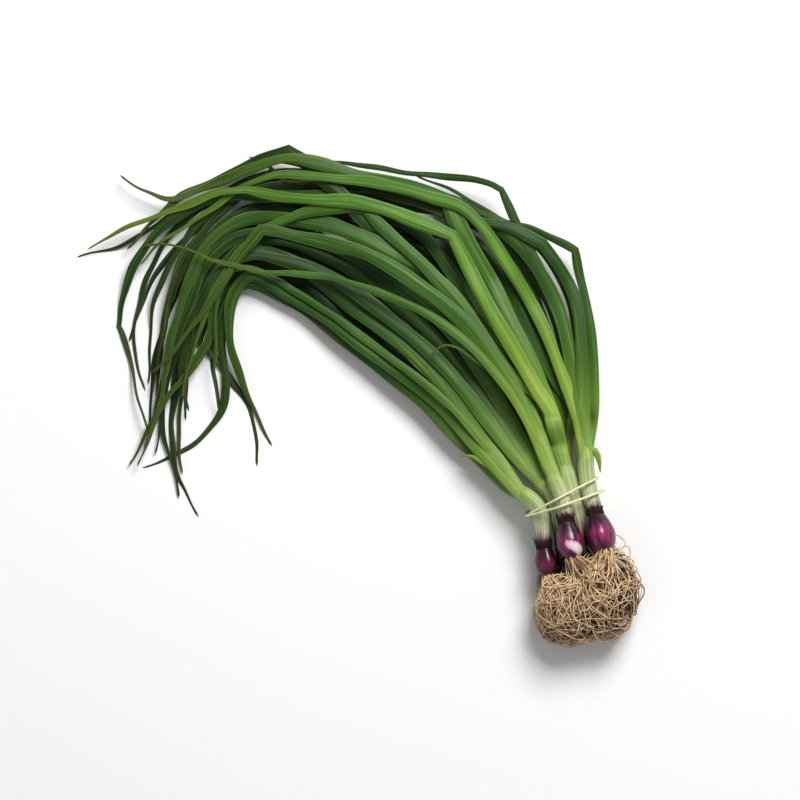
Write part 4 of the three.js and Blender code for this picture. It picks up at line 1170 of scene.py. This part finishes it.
def flake_skin(pixel, height, length, width, heading, number):
    """One curled flake."""
    piece = added(bpy.ops.mesh.primitive_grid_add, x_subdivisions=14, y_subdivisions=10, size=2)
    x, y, _ = read_corners(piece).T
    narrow = np.sqrt(np.clip(1 - 0.8 * x**2, 0, 1)) * (1 + 0.1 * np.sin(7 * x + number))
    across = 0.5 * width * y * narrow
    up = ARCH * (1 - y**2) - DROOP * x**2 + CRUMPLE * np.sin(5 * x + 3 * y + number)
    turned = math.radians(heading)
    along = 0.5 * length * x
    places = at(pixel, height) + np.column_stack([
        along * math.cos(turned) - across * math.sin(turned),
        along * math.sin(turned) + across * math.cos(turned),
        up,
    ])
    write_corners(piece, places)
    thicken(piece, FLAKE_WALL, -1)
    bpy.ops.object.shade_smooth()
    return piece


flakes = join_as("loose_skins", [flake_skin(*flake, number) for number, flake in enumerate(FLAKES)])
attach(flakes, "root")
print(len(FLAKES), "flakes of skin")

# %% [markdown]
# ## The rubber band
#
# A thin band goes round all the necks twice. Pulled tight, it takes the shape of a string round
# nine bottles: straight where nothing touches it, and round where it bends about a neck. That is
# the convex hull of the circles. The two turns run apart on one side and cross on the other, as in
# the photograph.

# %% The line of the band
BAND_HALF = 0.82
BAND_LEFT, BAND_RIGHT = (528, 515), (598, 485)  # pixels that its middle plane runs through
BAND_GAP = 0.25
BAND_SPREAD = 4.6  # half the distance between the two turns
BAND_REACH = 6.0  # the necks hold the band open up to this far from its middle plane
BAND_POINTS = 300


def hull_of(points):
    """The convex hull of points in a plane, in order."""
    points = sorted(map(tuple, points))

    def chain(ordered):
        kept = []
        for p in ordered:
            while len(kept) > 1:
                (ax, ay), (bx, by) = kept[-2], kept[-1]
                if (bx - ax) * (p[1] - ay) - (by - ay) * (p[0] - ax) > 0:
                    break
                kept.pop()
            kept.append(p)
        return kept[:-1]

    return np.array(chain(points) + chain(points[::-1]))


left, right = at(BAND_LEFT), at(BAND_RIGHT)
middle = (left + right) / 2
across = unit(right - left)
lengthwise = np.array([-across[1], across[0], 0.0])
round_angles = np.linspace(0, 2 * math.pi, 48, endpoint=False)
string_radius = NECK_RADIUS + BAND_GAP + BAND_HALF
rims = []
for plant in plants:
    for held in neck_line(plant, np.linspace(0, 1, 26)):
        if abs((held - middle) @ lengthwise) < BAND_REACH:
            circle_x = (held - middle) @ across + string_radius * np.cos(round_angles)
            rims.extend(zip(circle_x, held[2] + string_radius * np.sin(round_angles)))
string = hull_of(rims)
string = even_steps(np.vstack([string, string[:1]]), 0.5)[:-1]


def band_line():
    """The line of the band, twice round the necks and back to its start."""
    turns = np.linspace(0, 4 * math.pi, BAND_POINTS, endpoint=False)
    share = (turns / (2 * math.pi)) % 1
    around = np.append(share * len(string), 0)[:-1]
    closed = np.vstack([string, string[:1]])
    steps = np.arange(len(closed))
    x, y = np.interp(around, steps, closed[:, 0]), np.interp(around, steps, closed[:, 1])
    pull = unit(np.gradient(closed, axis=0))
    lift = BAND_HALF * (1 + np.cos(turns / 2))
    x = x + lift * np.interp(around, steps, pull[:, 1])
    y = y - lift * np.interp(around, steps, pull[:, 0])
    places = middle[None, :] + np.outer(x, across) + np.outer(BAND_SPREAD * np.sin(turns / 2), lengthwise)
    places[:, 2] = y
    return places


band = tubes_along("band", [band_line()], BAND_HALF, closed=True, bevel=4)
merge_and_turn_out(band)
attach(band, "root")
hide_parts("rubber_band")
print("the band is", round(lengths_along(band_line())[-1]), "mm long")

# %% [markdown]
# ## Mixing a material
#
# Every finish below is a network of shader nodes on one principled shader. Small helpers keep the
# networks short: one adds a node and fills in its sockets, others make a ramp of colours, a cloudy
# pattern or a filter over a colour.

# %% Material helpers
class Finish:
    """A material and its node tree."""

    def __init__(self, name, **settings):
        self.material = bpy.data.materials.new(name)
        self.material.use_nodes = True
        self.tree = self.material.node_tree
        self.shader = self.tree.nodes["Principled BSDF"]
        for socket, value in settings.items():
            self.shader.inputs[socket.replace("_", " ")].default_value = value

    def feed(self, socket, source):
        """Links an output to a socket, or sets the socket's value, a number or a colour."""
        if isinstance(source, bpy.types.NodeSocket):
            self.tree.links.new(source, socket)
        else:
            socket.default_value = (*source, 1) if isinstance(source, tuple) else source

    def colour_with(self, source):
        """Sets the colour of the material."""
        self.feed(self.shader.inputs["Base Color"], source)

    def add(self, kind, inputs=(), **settings):
        """Adds a node. inputs holds socket numbers or names with their sources."""
        node = self.tree.nodes.new(kind)
        for key, value in settings.items():
            setattr(node, key, value)
        for key, source in dict(inputs).items():
            self.feed(node.inputs[key], source)
        return node

    def painted(self, name, output="Fac"):
        """A value that was painted on the corners of the mesh."""
        return self.add("ShaderNodeAttribute", attribute_name=name).outputs[output]

    def ramp(self, source, stops):
        """Turns a number into a colour."""
        node = self.add("ShaderNodeValToRGB", {0: source})
        elements = node.color_ramp.elements
        while len(elements) < len(stops):
            elements.new(0.5)
        for element, (position, colour) in zip(elements, stops):
            element.position = position
            element.color = (*colour, 1)
        return node.outputs["Color"]

    def mix(self, factor, first, second, blend="MIX"):
        """Mixes two colours."""
        node = self.add("ShaderNodeMix", data_type="RGBA", blend_type=blend)
        self.feed(node.inputs[0], factor)
        self.feed(node.inputs[6], first)
        self.feed(node.inputs[7], second)
        return node.outputs[2]

    def tint(self, factor, colour, filter_colour):
        """Lays a filter over a colour, where the factor is 1 in full."""
        return self.mix(factor, colour, self.mix(1.0, colour, filter_colour, "MULTIPLY"))

    def math(self, operation, first, second=0.0):
        """Works out a number from one or two others."""
        return self.add("ShaderNodeMath", {0: first, 1: second}, operation=operation).outputs[0]

    def noise(self, vector, scale, detail, roughness):
        """A cloudy pattern."""
        inputs = {"Vector": vector, "Scale": scale, "Detail": detail, "Roughness": roughness}
        return self.add("ShaderNodeTexNoise", inputs).outputs[0]

    def fibres(self, grain, across, along, detail, roughness):
        """A pattern in the coordinates of the grain, so many times as fine across it and along it."""
        node = self.add("ShaderNodeVectorMath", {0: grain}, operation="MULTIPLY")
        node.inputs[1].default_value = (across, across, along)
        return self.noise(node.outputs[0], 1.0, detail, roughness)

    def stretch(self, source, low, high, to_low=0.0, to_high=1.0):
        """Moves a number from one range to another."""
        node = self.add("ShaderNodeMapRange", {0: source, 1: low, 2: high, 3: to_low, 4: to_high})
        return node.outputs[0]

    def bump(self, height, strength, distance):
        """Small dents on the surface. The distance is in millimetres."""
        inputs = {"Height": height, "Strength": strength, "Distance": distance * MM}
        node = self.add("ShaderNodeBump", inputs)
        self.tree.links.new(node.outputs[0], self.shader.inputs["Normal"])


def dress(pieces, finish):
    """Gives the pieces one material."""
    for piece in pieces:
        piece.data.materials.clear()
        piece.data.materials.append(finish.material)
    print(finish.material.name, "has", len(finish.tree.nodes), "nodes. Pieces with it:", len(pieces))


# %% [markdown]
# ## The green of the leaves
#
# A leaf is white at the bulb, yellow green where it leaves the neck and deep green beyond, with
# darker stripes and fine veins from end to end, a painted highlight along its ridge, a paler rim,
# and painted shade that darkens it where it lies deep in the bunch. Two ramps follow the painted
# share along the leaf, one for a fresh deep leaf and one for a wilting one, and the painted tone
# mixes them. The stripes are noises stretched along the leaf, because they read coordinates painted
# in the leaf's own directions. They also shift the ramps a little, so the purple of the bulb runs up
# the neck in streaks.

# %% Leaf finish
def neck_and_leaf_finish():
    """White to green, with stripes and veins."""
    finish = Finish("leaf green", Roughness=0.42, IOR=1.45, Specular_IOR_Level=0.32)
    tone = finish.math("POWER", finish.painted("tone"), 1.5)
    grain = finish.painted("grain", "Vector")
    streaks = finish.fibres(grain, 6.0, 0.16, 4.0, 0.7)
    share = finish.math("ADD", finish.stretch(finish.painted("share"), -1, 1),
                        finish.stretch(streaks, 0.35, 0.65, -0.035, 0.035))
    deep = finish.ramp(share, [
        (0.0, (0.022, 0.006, 0.012)), (0.02, (0.05, 0.016, 0.024)), (0.04, (0.24, 0.17, 0.14)),
        (0.08, (0.50, 0.48, 0.32)),
        (0.20, (0.58, 0.60, 0.35)), (0.36, (0.48, 0.55, 0.22)), (0.46, (0.26, 0.41, 0.07)),
        (0.57, (0.045, 0.145, 0.016)), (0.70, (0.009, 0.056, 0.006)), (0.80, (0.006, 0.038, 0.004)),
        (0.94, (0.005, 0.028, 0.004)),
        (1.0, (0.03, 0.026, 0.008)),
    ])
    lime = finish.ramp(share, [
        (0.0, (0.022, 0.006, 0.012)), (0.02, (0.05, 0.016, 0.024)), (0.04, (0.26, 0.19, 0.16)),
        (0.08, (0.54, 0.50, 0.35)),
        (0.20, (0.63, 0.64, 0.40)), (0.36, (0.55, 0.60, 0.27)), (0.46, (0.41, 0.54, 0.09)),
        (0.54, (0.26, 0.38, 0.035)), (0.62, (0.15, 0.31, 0.03)), (0.78, (0.115, 0.26, 0.024)),
        (0.94, (0.20, 0.29, 0.03)),
        (1.0, (0.20, 0.16, 0.05)),
    ])
    colour = finish.mix(tone, deep, lime)
    green = finish.stretch(share, 0.48, 0.6)
    across = finish.math("ABSOLUTE", finish.add("ShaderNodeSeparateXYZ", {0: grain}).outputs[0])
    rim = finish.math("MULTIPLY", finish.stretch(across, 0.82, 1.0, 0.0, 0.5), green)
    colour = finish.mix(rim, colour, (0.30, 0.42, 0.08))
    # painted highlight: a lighter line along the ridge of each leaf, where the light would catch it
    back = finish.math("MULTIPLY", finish.stretch(finish.painted("ridge"), 0.0, 0.16, 0.3, 0.0), green)
    colour = finish.mix(back, colour, (0.22, 0.42, 0.12))
    colour = finish.tint(finish.stretch(streaks, 0.40, 0.58, 0.85, 0.0), colour, (0.36, 0.50, 0.32))
    stripes = finish.fibres(grain, 2.3, 0.09, 2.0, 0.5)
    striped = finish.math("MULTIPLY", finish.stretch(stripes, 0.42, 0.56, 0.75, 0.0), green)
    colour = finish.tint(striped, colour, (0.40, 0.55, 0.36))
    patches = finish.fibres(grain, 0.6, 0.3, 3.0, 0.6)
    colour = finish.tint(finish.stretch(patches, 0.45, 0.75, 0.0, 0.55), colour, (0.50, 0.72, 0.75))
    yellow = finish.fibres(grain, 1.1, 0.12, 2.0, 0.5)
    colour = finish.mix(finish.stretch(yellow, 0.6, 0.78, 0.0, 0.5), colour, (0.38, 0.44, 0.06))
    # painted shade: the lower a leaf lies in the heap, by its painted order, the darker its colour
    shade_of_low_leaves = finish.stretch(finish.painted("order"), 0.0, 0.85, 0.8, 0.0)
    colour = finish.tint(shade_of_low_leaves, colour, (0.42, 0.52, 0.42))
    finish.colour_with(colour)
    veins = finish.fibres(grain, 11.0, 0.1, 2.0, 0.5)
    finish.feed(finish.shader.inputs["Roughness"], finish.stretch(veins, 0.3, 0.7, 0.34, 0.52))
    finish.bump(finish.math("ADD", veins, stripes), 0.6, 0.35)
    return finish


dress(greens, neck_and_leaf_finish())

# %% [markdown]
# ## The purple of the bulbs
#
# The skin is a glossy magenta purple, darkest at the collar and at the root plate, with lighter
# lines along the belly. Where it has come off, the scale under it is white with a pink flush.

# %% Bulb finish
def bulb_finish():
    """Glossy purple skin with lines from root to collar."""
    finish = Finish("bulb purple", Roughness=0.24, IOR=1.48)
    height = finish.stretch(finish.painted("height"), -1.2, 1.8)
    grain = finish.painted("grain", "Vector")
    skin = finish.ramp(height, [
        (0.0, (0.08, 0.02, 0.025)), (0.14, (0.12, 0.010, 0.045)), (0.34, (0.27, 0.014, 0.105)),
        (0.52, (0.16, 0.008, 0.06)), (0.64, (0.035, 0.004, 0.014)), (0.76, (0.014, 0.003, 0.006)),
    ])
    lines = finish.fibres(grain, 8.0, 0.5, 3.0, 0.6)
    light = finish.math("MULTIPLY", finish.stretch(lines, 0.48, 0.70, 0.0, 0.6),
                        finish.stretch(height, 0.5, 0.78, 1.0, 0.05))
    skin = finish.mix(light, skin, (0.48, 0.10, 0.28))
    clouds = finish.fibres(grain, 1.5, 0.8, 3.0, 0.5)
    skin = finish.mix(finish.stretch(clouds, 0.38, 0.58, 0.85, 0.0), skin, (0.03, 0.003, 0.015))
    skin = finish.mix(finish.painted("dark"), skin, (0.03, 0.003, 0.014))
    edge = finish.math("ADD", finish.painted("bare"), finish.stretch(lines, 0.3, 0.7, -0.3, 0.3))
    bare = finish.stretch(edge, 0.3, 0.6)
    flesh = finish.ramp(finish.painted("bare"), [(0.0, (0.50, 0.08, 0.28)), (0.6, (0.70, 0.42, 0.55)),
                                                 (1.0, (0.80, 0.62, 0.68))])
    finish.colour_with(finish.mix(bare, skin, flesh))
    finish.bump(lines, 0.3, 0.3)
    return finish


dress(bulbs, bulb_finish())

# %% [markdown]
# ## Dried skin, roots and rubber
#
# The collars are dry paper, nearly black and paler at the torn edge. A root is straw coloured,
# paler where it is young, with spots of soil, and darker deep in the mat, which is painted shade. The
# loose skins let some light through, the band is matt cream rubber with a trace of dust, and the
# floor is white paper.

# %% Collar finish
def collar_finish():
    """Dry dark paper."""
    finish = Finish("dried skin", Roughness=0.75, Specular_IOR_Level=0.12)
    grain = finish.painted("grain", "Vector")
    fibres = finish.fibres(grain, 8.0, 1.5, 3.0, 0.6)
    colour = finish.ramp(finish.painted("height"), [
        (0.0, (0.020, 0.004, 0.009)), (0.4, (0.010, 0.004, 0.005)),
        (0.85, (0.022, 0.009, 0.008)), (1.0, (0.09, 0.05, 0.035)),
    ])
    colour = finish.mix(finish.stretch(fibres, 0.5, 0.75, 0.0, 0.4), colour, (0.09, 0.035, 0.025))
    finish.colour_with(colour)
    finish.bump(fibres, 0.5, 0.3)
    return finish


dress([collars], collar_finish())

# %% Root finish
def root_finish():
    """Straw coloured roots, with spots of soil, and painted shade that darkens them in the depth of the mat.
    """
    finish = Finish("root straw", Roughness=0.75)
    place = finish.add("ShaderNodeTexCoord").outputs["Object"]
    tone = finish.painted("tone")
    spots = finish.noise(place, 260.0, 4.0, 0.6)
    clean = finish.ramp(tone, [(0.0, (0.030, 0.014, 0.012)), (0.14, (0.09, 0.04, 0.03)),
                               (0.5, (0.42, 0.27, 0.14)), (1.0, (0.80, 0.58, 0.34))])
    soil_and_shade = finish.mix(1.0, clean, (0.34, 0.24, 0.19), "MULTIPLY")
    colour = finish.mix(finish.stretch(spots, 0.36, 0.55, 0.6, 0.0), clean, soil_and_shade)
    # painted shade: roots deep in the mat are darkened to the same colour as the soil spots
    colour = finish.mix(finish.stretch(finish.painted("depth"), 0.0, 1.0, 1.0, 0.0), colour, soil_and_shade)
    finish.colour_with(colour)
    finish.bump(spots, 0.5, 0.25)
    return finish


dress([root_mat], root_finish())

# %% Finishes of soft clouds
def clouded_finish(name, scale, detail, span, colours, dents=None, **settings):
    """A material that goes from one colour to another in soft clouds, dented or smooth."""
    finish = Finish(name, **settings)
    place = finish.add("ShaderNodeTexCoord").outputs["Object"]
    clouds = finish.noise(place, scale, *detail)
    finish.colour_with(finish.mix(finish.stretch(clouds, *span), *colours))
    if dents:
        finish.bump(clouds, *dents)
    return finish


dress([flakes], clouded_finish(
    "pale skin", 180.0, (3.0, 0.6), (0, 1), [(0.80, 0.74, 0.68), (0.60, 0.45, 0.38)],
    dents=(0.4, 0.3), Roughness=0.5, Transmission_Weight=0.35, IOR=1.3,
))
dress([band], clouded_finish(
    "cream rubber", 220.0, (3.0, 0.6), (0.4, 0.7), [(0.74, 0.71, 0.42), (0.62, 0.58, 0.33)],
    dents=(0.15, 0.1), Roughness=0.6,
))
dress([floor], clouded_finish(
    "white floor", 3.0, (2.0, 0.5), (0, 1), [(0.93, 0.93, 0.93), (0.91, 0.91, 0.91)],
    Roughness=0.9,
))
print(len(bpy.data.materials), "materials")
